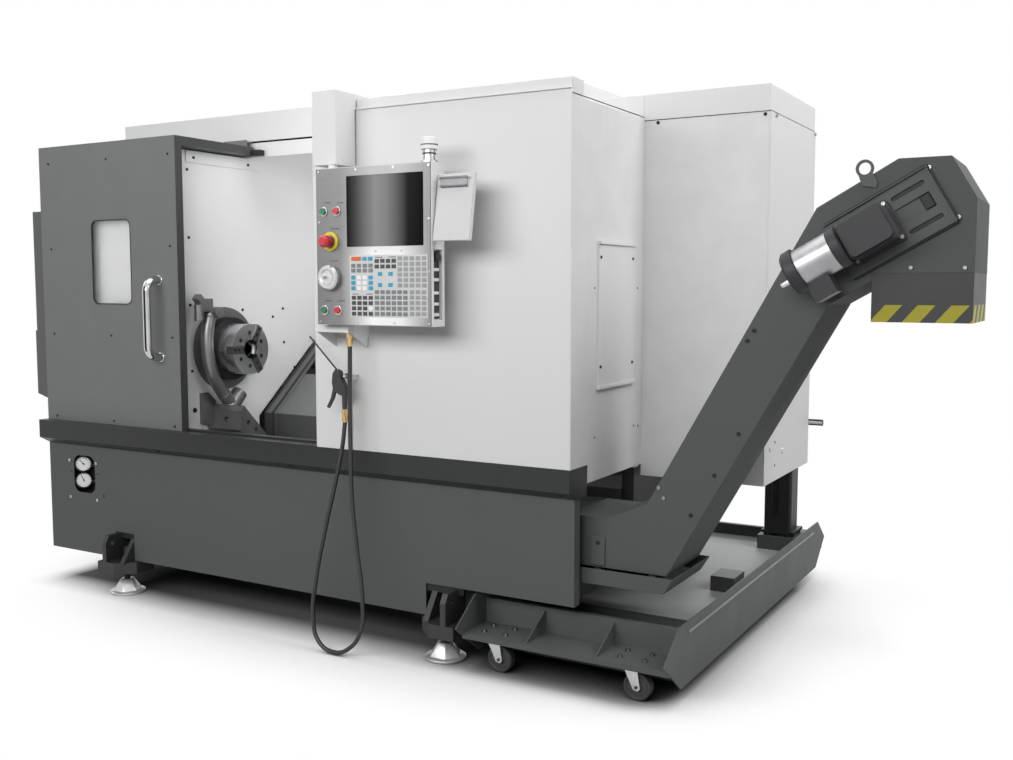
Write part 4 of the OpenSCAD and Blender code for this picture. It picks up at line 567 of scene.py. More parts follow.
for bezier, spot in zip(hose_line.bezier_points, hose_route):
    bezier.co = spot
    bezier.handle_left_type = bezier.handle_right_type = "AUTO"
hose = bpy.data.objects.new("air_hose_tube", hose_curve)
scene.collection.objects.link(hose)
hose_curve.materials.append(hose_rubber)
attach(hose, "machine")
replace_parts(hose, "air_hose")
print("hose points:", len(hose_route))

# %% [markdown]
# ## Tools for fittings
# Screws, keys and seals are small and many, so they are drawn by a few helpers and gathered in one mesh for
# each moving body and finish. Sizes are in millimetres from the corner that the machine's drawings start
# at.

# %% Mesh helpers
HOME = Vector((-0.507, -0.782, 0.0))


def place(x, y, z):
    return HOME + Vector((x, y, z)) * MM


def facing(at, direction):
    turn = Vector(direction).to_track_quat("Z", "Y").to_matrix().to_4x4()
    return Matrix.Translation(place(*at)) @ turn


def round_edges(shape, verts, radius, segments=2):
    edges = list({edge for vert in verts for edge in vert.link_edges})
    bmesh.ops.bevel(shape, geom=edges, offset=radius * MM, offset_type="OFFSET", segments=segments,
                    profile=0.5, affect="EDGES", material=-1, clamp_overlap=True)


def add_block(shape, low, high, radius=0.0, segments=1, turn=None):
    """A block between two corners, with rounded edges. With turn, the corners lie in that frame."""
    low, high = Vector(low) * MM, Vector(high) * MM
    verts = bmesh.ops.create_cube(shape, size=1.0)["verts"]
    bmesh.ops.scale(shape, vec=high - low, verts=verts)
    bmesh.ops.translate(shape, vec=(low + high) / 2, verts=verts)
    bmesh.ops.transform(shape, matrix=turn or Matrix.Translation(HOME), verts=verts)
    if radius:
        round_edges(shape, verts, radius, segments)


def joined(verts):
    """All the corners that hang together with these."""
    found, fresh = set(verts), set(verts)
    while fresh:
        fresh = {edge.other_vert(vert) for vert in fresh for edge in vert.link_edges} - found
        found |= fresh
    return list(found)


def only(kind, items):
    return [item for item in items if isinstance(item, kind)]


def add_turned(shape, profile, matrix, steps=24):
    """A turned piece: pairs of radius and height, spun about the frame's z axis."""
    verts = [shape.verts.new((radius * MM, 0.0, height * MM)) for radius, height in profile]
    edges = [shape.edges.new(pair) for pair in zip(verts, verts[1:])]
    spun = bmesh.ops.spin(shape, geom=verts + edges, cent=(0, 0, 0), axis=(0, 0, 1), angle=math.tau,
                          steps=steps, use_merge=True)
    made = joined(only(bmesh.types.BMVert, spun["geom_last"]))
    bmesh.ops.remove_doubles(shape, verts=made, dist=1e-6)
    bmesh.ops.transform(shape, matrix=matrix, verts=[vert for vert in made if vert.is_valid])


def add_screw(shape, at, direction, width, tall, sides=12):
    """A low head with a socket; six sides give a hexagon bolt without one."""
    made = bmesh.ops.create_cone(shape, cap_ends=True, segments=sides, radius1=width / 2 * MM,
                                 radius2=width * 0.43 * MM, depth=tall * MM)["verts"]
    bmesh.ops.translate(shape, vec=(0, 0, tall / 2 * MM), verts=made)
    faces = {face for vert in made for face in vert.link_faces}
    top = max(faces, key=lambda face: face.calc_center_median().z)
    rim, sink = (0.2, -0.5) if sides > 6 else (0.08, 0.12)
    bmesh.ops.inset_region(shape, faces=[top], thickness=rim * width * MM, depth=0.0)
    bmesh.ops.inset_region(shape, faces=[top], thickness=0.1 * MM, depth=sink * tall * MM)
    bmesh.ops.transform(shape, matrix=facing(at, direction), verts=joined(made))


def make_piece(name, shape, body, finish):
    bmesh.ops.recalc_face_normals(shape, faces=shape.faces)
    mesh = bpy.data.meshes.new(name)
    shape.to_mesh(mesh)
    shape.free()
    mesh.shade_smooth()
    mesh.set_sharp_from_angle(angle=math.radians(35))
    mesh.materials.append(finish)
    piece = bpy.data.objects.new(name, mesh)
    scene.collection.objects.link(piece)
    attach(piece, body)
    print(name, len(mesh.polygons), "faces")
    return piece


FRONT, RIGHT, UP = (0, -1, 0), (1, 0, 0), (0, 0, 1)

# %% [markdown]
# ## Screws in the sheet metal
# The panels are held by rows of button-head screws, black on the dark sheets and the inner wall, and zinc
# plated elsewhere. Their places were read off the photograph on the plane of each panel. Screws that move
# with one body and share a finish become one mesh, because hundreds of small objects would slow the scene
# down.


# %% Door and wall screws
def make_screws(name, body, finish, rows):
    """One piece of screws. A row has a direction, a head's width and height, and places."""
    shape = bmesh.new()
    for direction, width, tall, spots in rows:
        for spot in spots:
            add_screw(shape, spot, direction, width, tall)
    return make_piece(name, shape, body, finish)


WINDOW_SPOT = (-859, 1437)
door_spots = [(x, 0, z) for x in (-1219, -859, -503) for z in (721, 1076, 1437, 1796)
              if (x, z) != WINDOW_SPOT]
make_screws("door_screws", "door", black_paint, [(FRONT, 10, 2.5, door_spots)])

WALL_X = -528
wall_spots = [(122, 1748), (122, 1476), (121, 1203), (122, 933), (418, 1178), (606, 1144), (673, 1179),
              (676, 1027), (744, 909)]
make_screws("wall_screws", "machine", black_paint, [
    (RIGHT, 13, 3, [(WALL_X, y, z) for y, z in wall_spots]),
    (RIGHT, 13, 3, [(-524, y, 1798) for y in (155, 466)]),
    (RIGHT, 22, 4, [(WALL_X, 131, 771)]),
])

# %% [markdown]
# ## Sheets on the spindle wall
# A guide plate for the door is screwed to the inner wall, and a plain sheet closes the wall above it. Both
# are thin blocks that stand a little proud, so that their edges draw a fine line as on the machine.

# %% Guide plate and upper sheet
shape = bmesh.new()
add_block(shape, (-528.5, 114, 1776), (-524, 532, 1826), 1.5)
add_block(shape, (-531, 478, 1826), (-528, 1086, 2008))
make_piece("wall_guide_plate", shape, "machine", white_paint)

# %% [markdown]
# ## Screws on skirt, conveyor and cabinet
# Four large screws hold the plate round the gauge window, and smaller ones hold the conveyor's housing, the
# access cover and the cabinet. They use the same helper, one call for each finish.

# %% Skirt, conveyor and cabinet screws
SIDE_X, HOUSING_Y = 1288, 90
skirt_spots = [(-1146, 0, 533), (-977, 0, 532), (-1146, 0, 373), (-976, 0, 374)]
make_screws("skirt_screws", "machine", zinc_plate, [(FRONT, 15, 5, skirt_spots)])
make_screws("panel_screws", "machine", bolt_steel, [
    (FRONT, 12, 5, [(2254, HOUSING_Y, 1330), (2391, HOUSING_Y, 1329)]),
    (FRONT, 14, 4, [(1545, HOUSING_Y, 621), (1528, HOUSING_Y, 652)]),
    (RIGHT, 11, 1.5, [(SIDE_X, 444, 792), (SIDE_X, 482, 787), (SIDE_X, 522, 786)]),
])
housing_spots = [(1780, 838), (1707, 706), (1634, 575), (1821, 1149), (1801, 1118)]
make_screws("dark_screws", "machine", black_paint, [
    (FRONT, 14, 3, [(x, HOUSING_Y, z) for x, z in housing_spots]),
    (FRONT, 7, 2, [(-1140, 0, 485), (-972, 0, 487)]),
    (RIGHT, 11, 3, [(1296, y, z) for z in (1018, 1373) for y in (148, 405)]),
    (RIGHT, 8, 1, [(SIDE_X, 124, 789), (SIDE_X, 118, 1274), (SIDE_X, 467, 1273)]),
    (FRONT, 13, 3, [(1339, 513, 1843), (1715, 513, 1843)]),
    (FRONT, 14, 3, [(1322, 84, 452)]),
])

# %% [markdown]
# ## Seams, duct and hinge
# Where two sheets meet, the gap between them is a fine dark line, and thin black strips show that from any
# side. Black strips behind the foot notches and in the door's track slot are painted shade. A duct carries
# the cables from the cabinet to the roof box, and a hinge plate holds the conveyor's foot.

# %% Dark seams and painted shade
FOOT_X = (-816, 782)
seams = [
    ((1289, 512.2, 1851.6), (1731, 513.4, 1854.4)),
    ((1730.6, 514, 1853.6), (1731.9, 1090, 1857)),
    ((1287.5, -48, 1863.5), (1288.7, 512, 1866.5)),
    # The strip in the door's track slot is painted shade.
    ((-527, 480, 1876), (279, 482, 1914)),
]
# Black plates behind the foot notches are painted shade.
notches = [((x - 85, 6, 226), (x + 75, 8, 320)) for x in FOOT_X]
shape = bmesh.new()
for low, high in seams + notches:
    add_block(shape, low, high)
make_piece("seams_and_painted_shade", shape, "machine", black_paint)

# %% Duct, cabinet door's screws and hinge
shape = bmesh.new()
add_block(shape, (1036, 513, 1858), (1288.4, 1088, 1941), 1.5)
add_block(shape, (1036, 511, 1858), (1288, 514, 1868), 1.0)
make_piece("cable_duct", shape, "machine", white_paint)

LID_X, CABINET_DOOR_X = 1738, 1735.4
make_screws("cabinet_door_screws", "cab_door", bolt_steel, [
    (RIGHT, 13, 3, [(LID_X, 566, 1844), (LID_X, 1077, 1844)]),
    (RIGHT, 10, 2, [(CABINET_DOOR_X, 637, 742), (CABINET_DOOR_X, 639, 660)]),
])

shape = bmesh.new()
add_block(shape, (1294, 84, 378), (1346, 90.2, 474), 2.0)
make_piece("conveyor_hinge", shape, "machine", graphite_paint)

# %% [markdown]
# ## Chuck screws
# Two screws stand beside each jaw on one circle, so their places come from an angle and a radius. They ride
# on the chuck and turn with it.

# %% Chuck screws
AXIS_Y, AXIS_Z, SCREW_CIRCLE = 306, 1018, 69.3
turns = [math.radians(jaw + side) for jaw in (180, 60, -60) for side in (-34, 34)]
chuck_spots = [(-378, AXIS_Y + SCREW_CIRCLE * math.cos(turn), AXIS_Z + SCREW_CIRCLE * math.sin(turn))
               for turn in turns]
make_screws("chuck_screws", "spindle_chuck", black_paint, [(RIGHT, 18, 1.2, chuck_spots)])

# %% [markdown]
# ## Levelling feet
# The machine stands on four cast feet. Each is a turned flange with a six-sided cone on it, whose edges are
# rounded by a bevel, and a dark threaded stud with a hexagon nut above. They take the place of plainer feet
# in the CAD model.

# %% Bells and studs
bells, studs = bmesh.new(), bmesh.new()
flange_line = [(0, 0), (69, 0), (72, 3), (72, 8), (66, 12), (0, 12)]
stud_line = [(0, 52), (13, 52), (13, 84), (12, 86), (12, 190), (10, 193), (0, 193)]
nut_line = [(12, 138.2), (19, 138.2), (21, 140), (21, 152), (19, 154), (12, 154), (12, 138.2)]
for x in FOOT_X:
    for y in (6, 1030):
        foot = facing((x, y, 0), UP)
        add_turned(bells, flange_line, foot, 40)
        raised = Matrix.Translation((0, 0, 34.5 * MM)) @ Matrix.Rotation(math.radians(30.0), 4, "Z")
        cone = bmesh.ops.create_cone(bells, cap_ends=True, segments=6, radius1=60 * MM, radius2=27 * MM,
                                     depth=47 * MM, matrix=foot @ raised)["verts"]
        round_edges(bells, cone, 3.5)
        add_turned(studs, stud_line, foot, 16)
        add_turned(studs, nut_line, foot, 6)
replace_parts(make_piece("levelling_bells", bells, "machine", foot_zinc), "levelling_feet")
make_piece("levelling_studs", studs, "machine", black_paint)

# %% [markdown]
# ## The door's handle
# The handle is a chromed tube with two bends, on two rosettes. It is drawn as a bender makes it: a circle
# is carried straight on, spun a quarter turn about the bend's centre, and carried on again, so the bends
# are round and smooth.

# %% Handle
QUARTER = math.radians(90.0)


def run_tube(shape, rim, step):
    """Carries the open rim of a tube straight on and gives the new rim."""
    grown = bmesh.ops.extrude_edge_only(shape, edges=rim)["geom"]
    verts = only(bmesh.types.BMVert, grown)
    bmesh.ops.translate(shape, vec=Vector(step) * MM, verts=verts)
    return [edge for edge in only(bmesh.types.BMEdge, grown) if set(edge.verts) <= set(verts)]


def bend_tube(shape, rim, centre):
    """Turns the open rim a quarter round a bend that lies across the machine."""
    spun = bmesh.ops.spin(shape, geom=rim, cent=place(*centre), axis=RIGHT, angle=-QUARTER, steps=12)
    return only(bmesh.types.BMEdge, spun["geom_last"])


GRIP_X, GRIP_LOW, GRIP_HIGH, GRIP_OUT, BEND, TUBE = -570, 996, 1304, 66, 46, 16
rosette_line = [(15, 0), (18.2, 0), (18.8, 0.8), (18.8, 2.4), (17.8, 3.2), (15, 3.2), (15, 0)]
shape = bmesh.new()
bmesh.ops.create_circle(shape, segments=28, radius=TUBE * MM, matrix=facing((GRIP_X, 0, GRIP_LOW), FRONT))
rim = run_tube(shape, list(shape.edges), (0, BEND - GRIP_OUT, 0))
rim = bend_tube(shape, rim, (GRIP_X, BEND - GRIP_OUT, GRIP_LOW + BEND))
rim = run_tube(shape, rim, (0, 0, GRIP_HIGH - GRIP_LOW - 2 * BEND))
rim = bend_tube(shape, rim, (GRIP_X, BEND - GRIP_OUT, GRIP_HIGH - BEND))
run_tube(shape, rim, (0, GRIP_OUT - BEND, 0))
bmesh.ops.holes_fill(shape, edges=[edge for edge in shape.edges if edge.is_boundary])
for z in (GRIP_LOW, GRIP_HIGH):
    add_turned(shape, rosette_line, facing((GRIP_X, 0, z), FRONT), 32)
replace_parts(make_piece("handle_tube", shape, "door", chrome), "door_handle")

# %% [markdown]
# ## The back
# The back is closed by three screwed sheets, and the left one has louvres over the spindle's motor. A
# louvre is a pressed hood with a slot under it, so it is made of two blocks: a rounded one and a thin dark
# one, which is painted shade in the slot.

# %% Rear sheets and louvres
BACK = (0, 1, 0)
BACK_Y, SHEET_Y = 1089, 1092.5
sheets, rear_screws, slots = bmesh.new(), bmesh.new(), bmesh.new()
for start, end in ((-1240, -440), (-410, 390), (420, 1200)):
    add_block(sheets, (start, BACK_Y, 690), (end, SHEET_Y, 1790), 1.2)
    for z in (712, 1062, 1418, 1768):
        for x in (start + 20, end - 20):
            add_screw(rear_screws, (x, SHEET_Y, z), BACK, 11, 3)
    for z in (712, 1768):
        add_screw(rear_screws, ((start + end) / 2, SHEET_Y, z), BACK, 11, 3)
# The thin black block in each louvre's slot is painted shade.
for column in (-1120, -920, -720):
    for row in range(7):
        z = 1180 + 34 * row
        add_block(sheets, (column, 1091, z), (column + 150, 1099, z + 14), 5.0, 2)
        add_block(slots, (column + 6, 1092, z - 6), (column + 144, 1093, z))
make_piece("rear_sheets", sheets, "machine", white_paint)
make_piece("rear_screws", rear_screws, "machine", bolt_steel)
make_piece("rear_slot_shade", slots, "machine", black_paint)

# %% [markdown]
# ## The pendant's keys
# The keypad is a printed overlay with domed keys in groups. The groups are written as a corner, a pitch and
# a count, because that is how a keypad is laid out, and each colour makes one mesh.

# %% Keypad
FACE_X, FACE_Y, FACE_Z = 411, -203, 1151


def key_group(corner, pitch, count, skip=()):
    across, up = corner
    return [(across + pitch[0] * i, up - pitch[1] * j) for j in range(count[1]) for i in range(count[0])
            if (i, j) not in skip]


def add_key(shape, spot, width=17.5, height=12.5, tall=2.2):
    x, z = FACE_X + spot[0], FACE_Z + spot[1]
    low = (x - width / 2, FACE_Y - tall, z - height / 2)
    high = (x + width / 2, FACE_Y - 0.3, z + height / 2)
    add_block(shape, low, high, 1.2)


key_finishes = {
    "dark": moulded("key_dark", (0.03, 0.031, 0.032), 0.4),
    "mid": moulded("key_mid", (0.16, 0.165, 0.17), 0.4),
    "light": moulded("key_light", (0.27, 0.275, 0.28), 0.4),
    "white": moulded("key_white", (0.78, 0.78, 0.78), 0.4),
    "cyan": moulded("key_cyan", (0.015, 0.29, 0.44), 0.35),
    "orange": moulded("key_orange", (0.6, 0.11, 0.02), 0.35),
}
soft_keys = [(201, 217.5), (224.7, 217.5), (263.8, 168.3), (305, 168.3), (263.5, 132.8), (305, 132.8)]
jog_keys = [(154.5, 157), (154.5, 139.5), (154.5, 122), (225.5, 157), (225.5, 139.5), (225.5, 122)]
key_spots = {
    "cyan": soft_keys + jog_keys,
    "mid": key_group((155, 195.5), (23.6, 15.8), (4, 2)) + key_group((250.5, 109.6), (22.5, 17.6), (6, 5)),
    "dark": key_group((156, 91), (23, 17.5), (4, 4), [(3, 2)]) + key_group((251, 210), (22.5, 18), (4, 2)),
    "light": key_group((342, 217), (23.6, 17.2), (5, 6)) + key_group((388.7, 110), (23.2, 17.3), (3, 5)),
    "white": key_group((178.2, 157), (23.6, 17.5), (2, 3)) + [(225, 56)],
}
overlay_film = moulded("overlay_film", (0.54, 0.545, 0.55), 0.35)
overlay = bmesh.new()
add_block(overlay, (FACE_X + 140, FACE_Y - 0.6, FACE_Z + 28), (FACE_X + 449, FACE_Y + 0.5, FACE_Z + 229), 0.5)
make_piece("key_overlay", overlay, "pendant", overlay_film)
for colour, spots in key_spots.items():
    shape = bmesh.new()
    for spot in spots:
        add_key(shape, spot)
    make_piece("keys_" + colour, shape, "pendant", key_finishes[colour])
shape = bmesh.new()
add_key(shape, (166.8, 218), 40, 13)
make_piece("key_reset", shape, "pendant", key_finishes["orange"])

# %% [markdown]
# ## Printed bars and face screws
# Short plain bars stand over the buttons and key groups, and small screws run round the face. Both lie a
# fraction of a millimetre proud of it.

# %% Bars and face screws
BAR_HALF = 1.2
bars = [(150, 176, 103), (206, 233, 103), (244, 274, 222), (297, 326, 222), (36, 62, 404), (90, 116, 402),
        (60, 98, 318), (60, 94, 212), (35, 62, 80), (91, 118, 80)]
shape = bmesh.new()
for start, end, up in bars:
    low = (FACE_X + start, FACE_Y - 0.9, FACE_Z + up - BAR_HALF)
    high = (FACE_X + end, FACE_Y - 0.1, FACE_Z + up + BAR_HALF)
    add_block(shape, low, high)
make_piece("face_bars", shape, "pendant", key_finishes["dark"])

rim_spots = [(14, 507), (169, 507), (319, 507), (455, 506), (455, 341), (455, 176), (455, 10), (319, 10),
             (169, 10), (14, 10), (14, 341), (246, 242), (347, 242)]
face_spots = [(FACE_X + across, FACE_Y, FACE_Z + up) for across, up in rim_spots]
make_screws("face_screws", "pendant", zinc_plate, [(FRONT, 8, 2, face_spots)])

# %% [markdown]
# ## Knobs, collars and sockets
# The stop button sits in a yellow collar, the other buttons in bright bezels, and the pendant's right side
# has a recess with a knob and sockets. Round pieces are turned: a profile is spun about its axis.

# %% Collar and bezels
collar_line = [(22, 0.2), (31.4, 0.2), (31.8, 1.0), (31.8, 4.6), (31, 5.5), (22, 5.5), (22, 0.2)]
shape = bmesh.new()
add_turned(shape, collar_line, facing((473, FACE_Y, 1427), FRONT), 32)
make_piece("stop_collar", shape, "pendant", yellow_plastic)

bezel_line = [(15.1, 0.1), (16.6, 0.1), (16.6, 4.4), (15.2, 5.9), (12.2, 5.9), (12.2, 5.1), (15.1, 5.1),
              (15.1, 0.1)]
shape = bmesh.new()
for x in (445, 501):
    for z in (1200, 1526):
        add_turned(shape, bezel_line, facing((x, FACE_Y, z), FRONT), 24)
make_piece("button_bezels", shape, "pendant", chrome)

# %% Sockets
SOCKET_X = 866
knob_line = [(0, 14), (11, 14), (13, 12), (13, 3), (15, 0), (0, 0)]
shape = bmesh.new()
add_block(shape, (864.5, -189, 1176), (SOCKET_X, -148, 1392))
add_turned(shape, knob_line, facing((SOCKET_X, -168, 1372), RIGHT), 20)
for z in (1206, 1240, 1276):
    add_block(shape, (SOCKET_X, -182, z - 11), (870, -156, z + 11), 1.5)
make_piece("pendant_sockets", shape, "pendant", black_plastic)

shape = bmesh.new()
for z in (1189, 1223, 1258, 1300, 1332):
    add_block(shape, (SOCKET_X, -184, z - 5), (871, -154, z + 5), 1.5)
make_piece("socket_covers", shape, "pendant", pale_plastic)

# %% [markdown]
# ## Clip board and beacon
# A board for papers hangs at the pendant's side, with a sprung clip on top and a lip below. The beacon's
# neck and cap meet in two dark rings. A rod is turned from a four-point profile.

# %% Clip, lip and rings
shape = bmesh.new()
add_block(shape, (894, -180, 1592), (993, -177.5, 1617), 1.0)
add_turned(shape, [(0, 0), (4.6, 0), (4.6, 104), (0, 104)], facing((891, -177, 1616), RIGHT), 16)
add_turned(shape, [(0, 0), (2.4, 0), (2.4, 99), (0, 99)], facing((894, -182, 1590), RIGHT), 12)
make_piece("clip_spring", shape, "pendant", dark_steel)

shape = bmesh.new()
add_block(shape, (884, -182, 1421), (1004, -176, 1426), 1.5)
add_block(shape, (976, -184, 1419), (1006, -172, 1432), 2.5, 2)
make_piece("board_lip", shape, "pendant", motor_silver)

RING_BORE = 19
shape = bmesh.new()
for low, high, radius in ((1694, 1699, 21.5), (1722, 1725, 27.4)):
    outer = radius + 0.4
    ring_line = [(RING_BORE, low), (radius, low), (outer, low + 1), (outer, high - 1), (radius, high),
                 (RING_BORE, high), (RING_BORE, low)]
    add_turned(shape, ring_line, facing((844, -166, 0), UP), 32)
make_piece("beacon_rings", shape, "pendant", black_plastic)

# %% [markdown]
# ## The conveyor's drive
# The drive is a small motor with a bright rolled can between dark end bells, a gearbox with a flange and a
# slotted plate that slides to tighten the chain. The plate leans at thirty degrees, so the pieces share a
# leaning frame.

# %% Drive
LEAN = math.radians(30.0)
lean = Matrix.Rotation(-LEAN, 4, "Y") @ Matrix.Rotation(QUARTER, 4, "X")
drive = Matrix.Translation(place(2193, 90, 1451)) @ lean
along = Matrix.Rotation(QUARTER, 4, "Y")


def on_drive(x, y, z):
    return drive @ Matrix.Translation(Vector((x, y, z)) * MM)


can_line = [(54.5, 0), (55.6, 0), (55.9, 3), (55.9, 100), (55.6, 103), (54.5, 103), (54.5, 0)]
shape = bmesh.new()
add_turned(shape, can_line, on_drive(-248, 0, 86) @ along, 48)
make_piece("motor_can", shape, "machine", motor_silver)

gland_line = [(0, -40), (7, -40), (8, -38), (8, -16), (13, -14), (13, -2), (15, 1), (0, 1)]
shape = bmesh.new()
add_turned(shape, gland_line, on_drive(-279, -14, 86) @ along, 20)
make_piece("motor_gland", shape, "machine", zinc_plate)


# %% Drive's screws, and painted shade in slots and along edges
def drive_spot(x, y, z):
    """A place on the drive in the drawing's millimetres."""
    return (on_drive(x, y, z).translation - HOME) / MM


make_screws("drive_screws", "machine", bolt_steel, [
    (FRONT, 13, 5, [drive_spot(x, y, 24) for x in (-116, 16) for y in (-52, 52)]),
    (FRONT, 13, 6, [drive_spot(160, y, 0) for y in (-78, 78)]),
])

# The black strips in the plate's two slots and along its three edges are painted shade.
shape = bmesh.new()
for y in (-52, 52):
    add_block(shape, (38, y - 5, 2), (130, y + 5, 4), turn=drive)
for y in (-91, 86):
    add_block(shape, (-150, y, 0.5), (155, y + 5, 9), turn=drive)
add_block(shape, (155.5, -86, 0.5), (160, 86, 9), turn=drive)
add_block(shape, (100, -20, 2.2), (128, 20, 9), 2.0, turn=drive)
make_piece("drive_slot_shade", shape, "machine", black_paint)

# %% [markdown]
# ## Gauges
# Two air gauges sit behind the skirt's window, turned towards the operator. Each has a white dial with
# ticks, a needle and a brass stem.

# %% Gauge dials
DIAL_FACING, TICKS, TICK_START, TICK_STEP = (0.7071, -0.7071, 0), 11, -135.0, 27.0
stem_line = [(0, 0), (8.5, 0), (8.5, 9), (6, 11), (6, 18), (0, 18)]
dial_enamel = moulded("dial_enamel", (0.86, 0.86, 0.86), 0.25)
white_dial, black_marks, stems = bmesh.new(), bmesh.new(), bmesh.new()
for z, needle in ((515, 40.0), (443, 25.0)):
    dial = facing((-1108, 37, z), DIAL_FACING)
    add_turned(white_dial, [(0, 9.2), (29.6, 9.2), (29.6, 8.6)], dial, 32)
    for step in range(TICKS):
        tick = dial @ Matrix.Rotation(math.radians(TICK_START + TICK_STEP * step), 4, "Z")
        add_block(black_marks, (-0.7, 22, 9.1), (0.7, 27, 9.7), turn=tick)
    hand = dial @ Matrix.Rotation(math.radians(needle), 4, "Z")
    add_block(black_marks, (-1.2, -7, 10.2), (1.2, 23, 11.0), turn=hand)
    stem = dial @ Matrix.Translation((0.030, -0.008, -0.004)) @ along
    add_turned(stems, stem_line, stem, 6)
make_piece("gauge_dials", white_dial, "machine", dial_enamel)
make_piece("gauge_marks", black_marks, "machine", key_finishes["dark"])
make_piece("gauge_stems", stems, "machine", brass)

# %% [markdown]
# ## The window's seal
# A rubber seal with round corners holds the window's glass. It starts as one flat face: its corners are
# bevelled, the pane inside the seal is inset and taken out, and the ring that is left is given its
# thickness.

# %% Window seal
SEAL_WIDTH, SEAL_HEIGHT, SEAL_CORNER, SEAL_LIP, SEAL_THICK = 0.237, 0.348, 0.031, 0.005, 0.003
shape = bmesh.new()
corners = bmesh.ops.create_grid(shape, x_segments=1, y_segments=1, size=0.5)["verts"]
bmesh.ops.scale(shape, vec=(SEAL_WIDTH, SEAL_HEIGHT, 1.0), verts=corners)
bmesh.ops.bevel(shape, geom=corners, offset=SEAL_CORNER, offset_type="OFFSET", segments=8, profile=0.5,
                affect="VERTICES", material=-1)
pane = list(shape.faces)
bmesh.ops.inset_region(shape, faces=pane, thickness=SEAL_LIP, depth=0.0, use_boundary=True,
                       use_even_offset=True)
bmesh.ops.delete(shape, geom=pane, context="FACES")
bmesh.ops.solidify(shape, geom=list(shape.faces), thickness=SEAL_THICK)
bmesh.ops.transform(shape, matrix=facing((-845.5, -0.5, 1378), FRONT), verts=shape.verts)
make_piece("window_seal", shape, "door", black_rubber)

# %% [markdown]
# ## Way cover, runner and bolts
# Two rubber lips wipe the slanted way cover and run down its back, so they are drawn in a frame that leans
# with it. A runner hangs the door from its track, hexagon bolts hold the casters under the tank's shelf,
# and a round lock closes the cabinet.

# %% Rubber lips of the way cover
WAY_LEAN = math.radians(40.0)
way = Matrix.Translation(place(0, 525, 722)) @ Matrix.Rotation(WAY_LEAN, 4, "X")
shape = bmesh.new()
for x in (-499, -454):
    add_block(shape, (x, -8.3, 15.0), (x + 14, 539.0, 16.5), 0.6, turn=way)
    add_block(shape, (x, 507.5, 606), (x + 14, 509.0, 728.2), 0.6)
make_piece("way_lips", shape, "machine", black_rubber)

# %% Runner, bolts and lock
shape = bmesh.new()
add_block(shape, (-520, 416, 1829), (-414, 452, 1853), 5.0, 3)
make_piece("door_runner", shape, "door", black_paint)

shape = bmesh.new()
for centre in (1003, 1495):
    for dx in (-41, 41):
        for y in (-31, 31):
            add_screw(shape, (centre + dx, y, 131), UP, 17, 8, 6)
make_piece("caster_bolts", shape, "machine", dark_steel)

lock_line = [(0, 5), (9, 5), (11, 4), (12, 0), (0, 0)]
shape = bmesh.new()
add_turned(shape, lock_line, facing((CABINET_DOOR_X, 731, 700), RIGHT), 24)
make_piece("cabinet_lock", shape, "cab_door", zinc_plate)

# %% [markdown]
# ## Floor
# The machine stands on a pale floor that keeps its shadow. Far from the machine the floor fades to plain
# white. Under the base a painted shadow darkens it, and near its feet an Ambient Occlusion node paints
# contact shade, as on a floor where little sky reaches it. To every other ray the floor is grey, so that
# it throws little light back up.


# %% Floor sheet
def flat_sheet(name, width, height, matrix, finish):
    """A sheet of the studio, such as the floor."""
    shape = bmesh.new()
    verts = bmesh.ops.create_grid(shape, x_segments=1, y_segments=1, size=0.5)["verts"]
    bmesh.ops.scale(shape, vec=(width, height, 1.0), verts=verts)
    bmesh.ops.transform(shape, matrix=matrix, verts=verts)
    mesh = bpy.data.meshes.new(name)
    shape.to_mesh(mesh)
    shape.free()
    mesh.materials.append(finish)
    sheet = bpy.data.objects.new(name, mesh)
    scene.collection.objects.link(sheet)
    return sheet


FLOOR_SIDE = 60.0
floor_finish = Finish("floor_white", Roughness=0.9, Specular_IOR_Level=0.0)
floor = flat_sheet("floor", FLOOR_SIDE, FLOOR_SIDE, Matrix.Identity(4), floor_finish.material)

# %% Floor's shade and fade
BASE_LEFT, BASE_RIGHT, BASE_FRONT, BASE_BACK = -1.86, 0.80, -0.91, 0.33
FADE_X, FADE_Y, FADE_SQUEEZE, FADE_START, FADE_END = 0.1, -0.1, 0.42, 0.98, 1.5
SHADE, PALE, BOUNCE = (0.05, 0.05, 0.05), (0.97, 0.97, 0.97), (0.28, 0.28, 0.28)
looked_at = floor_finish.looked_at()
floor_x, floor_y, _ = floor_finish.axes()
from_x, from_y = floor_x - FADE_X, floor_y - FADE_Y
away = (from_x * from_x * FADE_SQUEEZE + from_y * from_y).apply("SQRT")
# These ramps make a painted shadow under the base, from a box of coordinates.
under_x = (floor_x - BASE_LEFT).clamp(0.0, 0.14) * (BASE_RIGHT - floor_x).clamp(0.0, 0.35)
under_y = (floor_y - BASE_FRONT).clamp(0.0, 0.21) * (BASE_BACK - floor_y).clamp(0.0, 0.30)
under = under_x * under_y
# The Ambient Occlusion node paints contact shade into the floor's colour.
contact = floor_finish.node("ShaderNodeAmbientOcclusion", {"samples": 8}, {"Distance": 0.4}).outputs["AO"]
open_sky = Field(floor_finish, contact).clamp(0.15, 0.70) * (1.0 - under * 0.9)
painted_floor_shade = floor_finish.mix(open_sky, SHADE, PALE)
floor_finish.colour(floor_finish.mix(looked_at, BOUNCE, painted_floor_shade))
glow = floor_finish.node("ShaderNodeEmission", None, {"Color": (1.0, 1.0, 1.0), "Strength": 1.0})
fade = looked_at * away.clamp(FADE_START, FADE_END) * (1.0 - under)
shaders = {0: fade, 1: floor_finish.surface.outputs[0], 2: glow.outputs[0]}
blend = floor_finish.node("ShaderNodeMixShader", None, shaders)
floor_finish.feed(floor_finish.tree.nodes["Material Output"].inputs["Surface"], blend.outputs[0])
print("floor's side in metres:", FLOOR_SIDE)

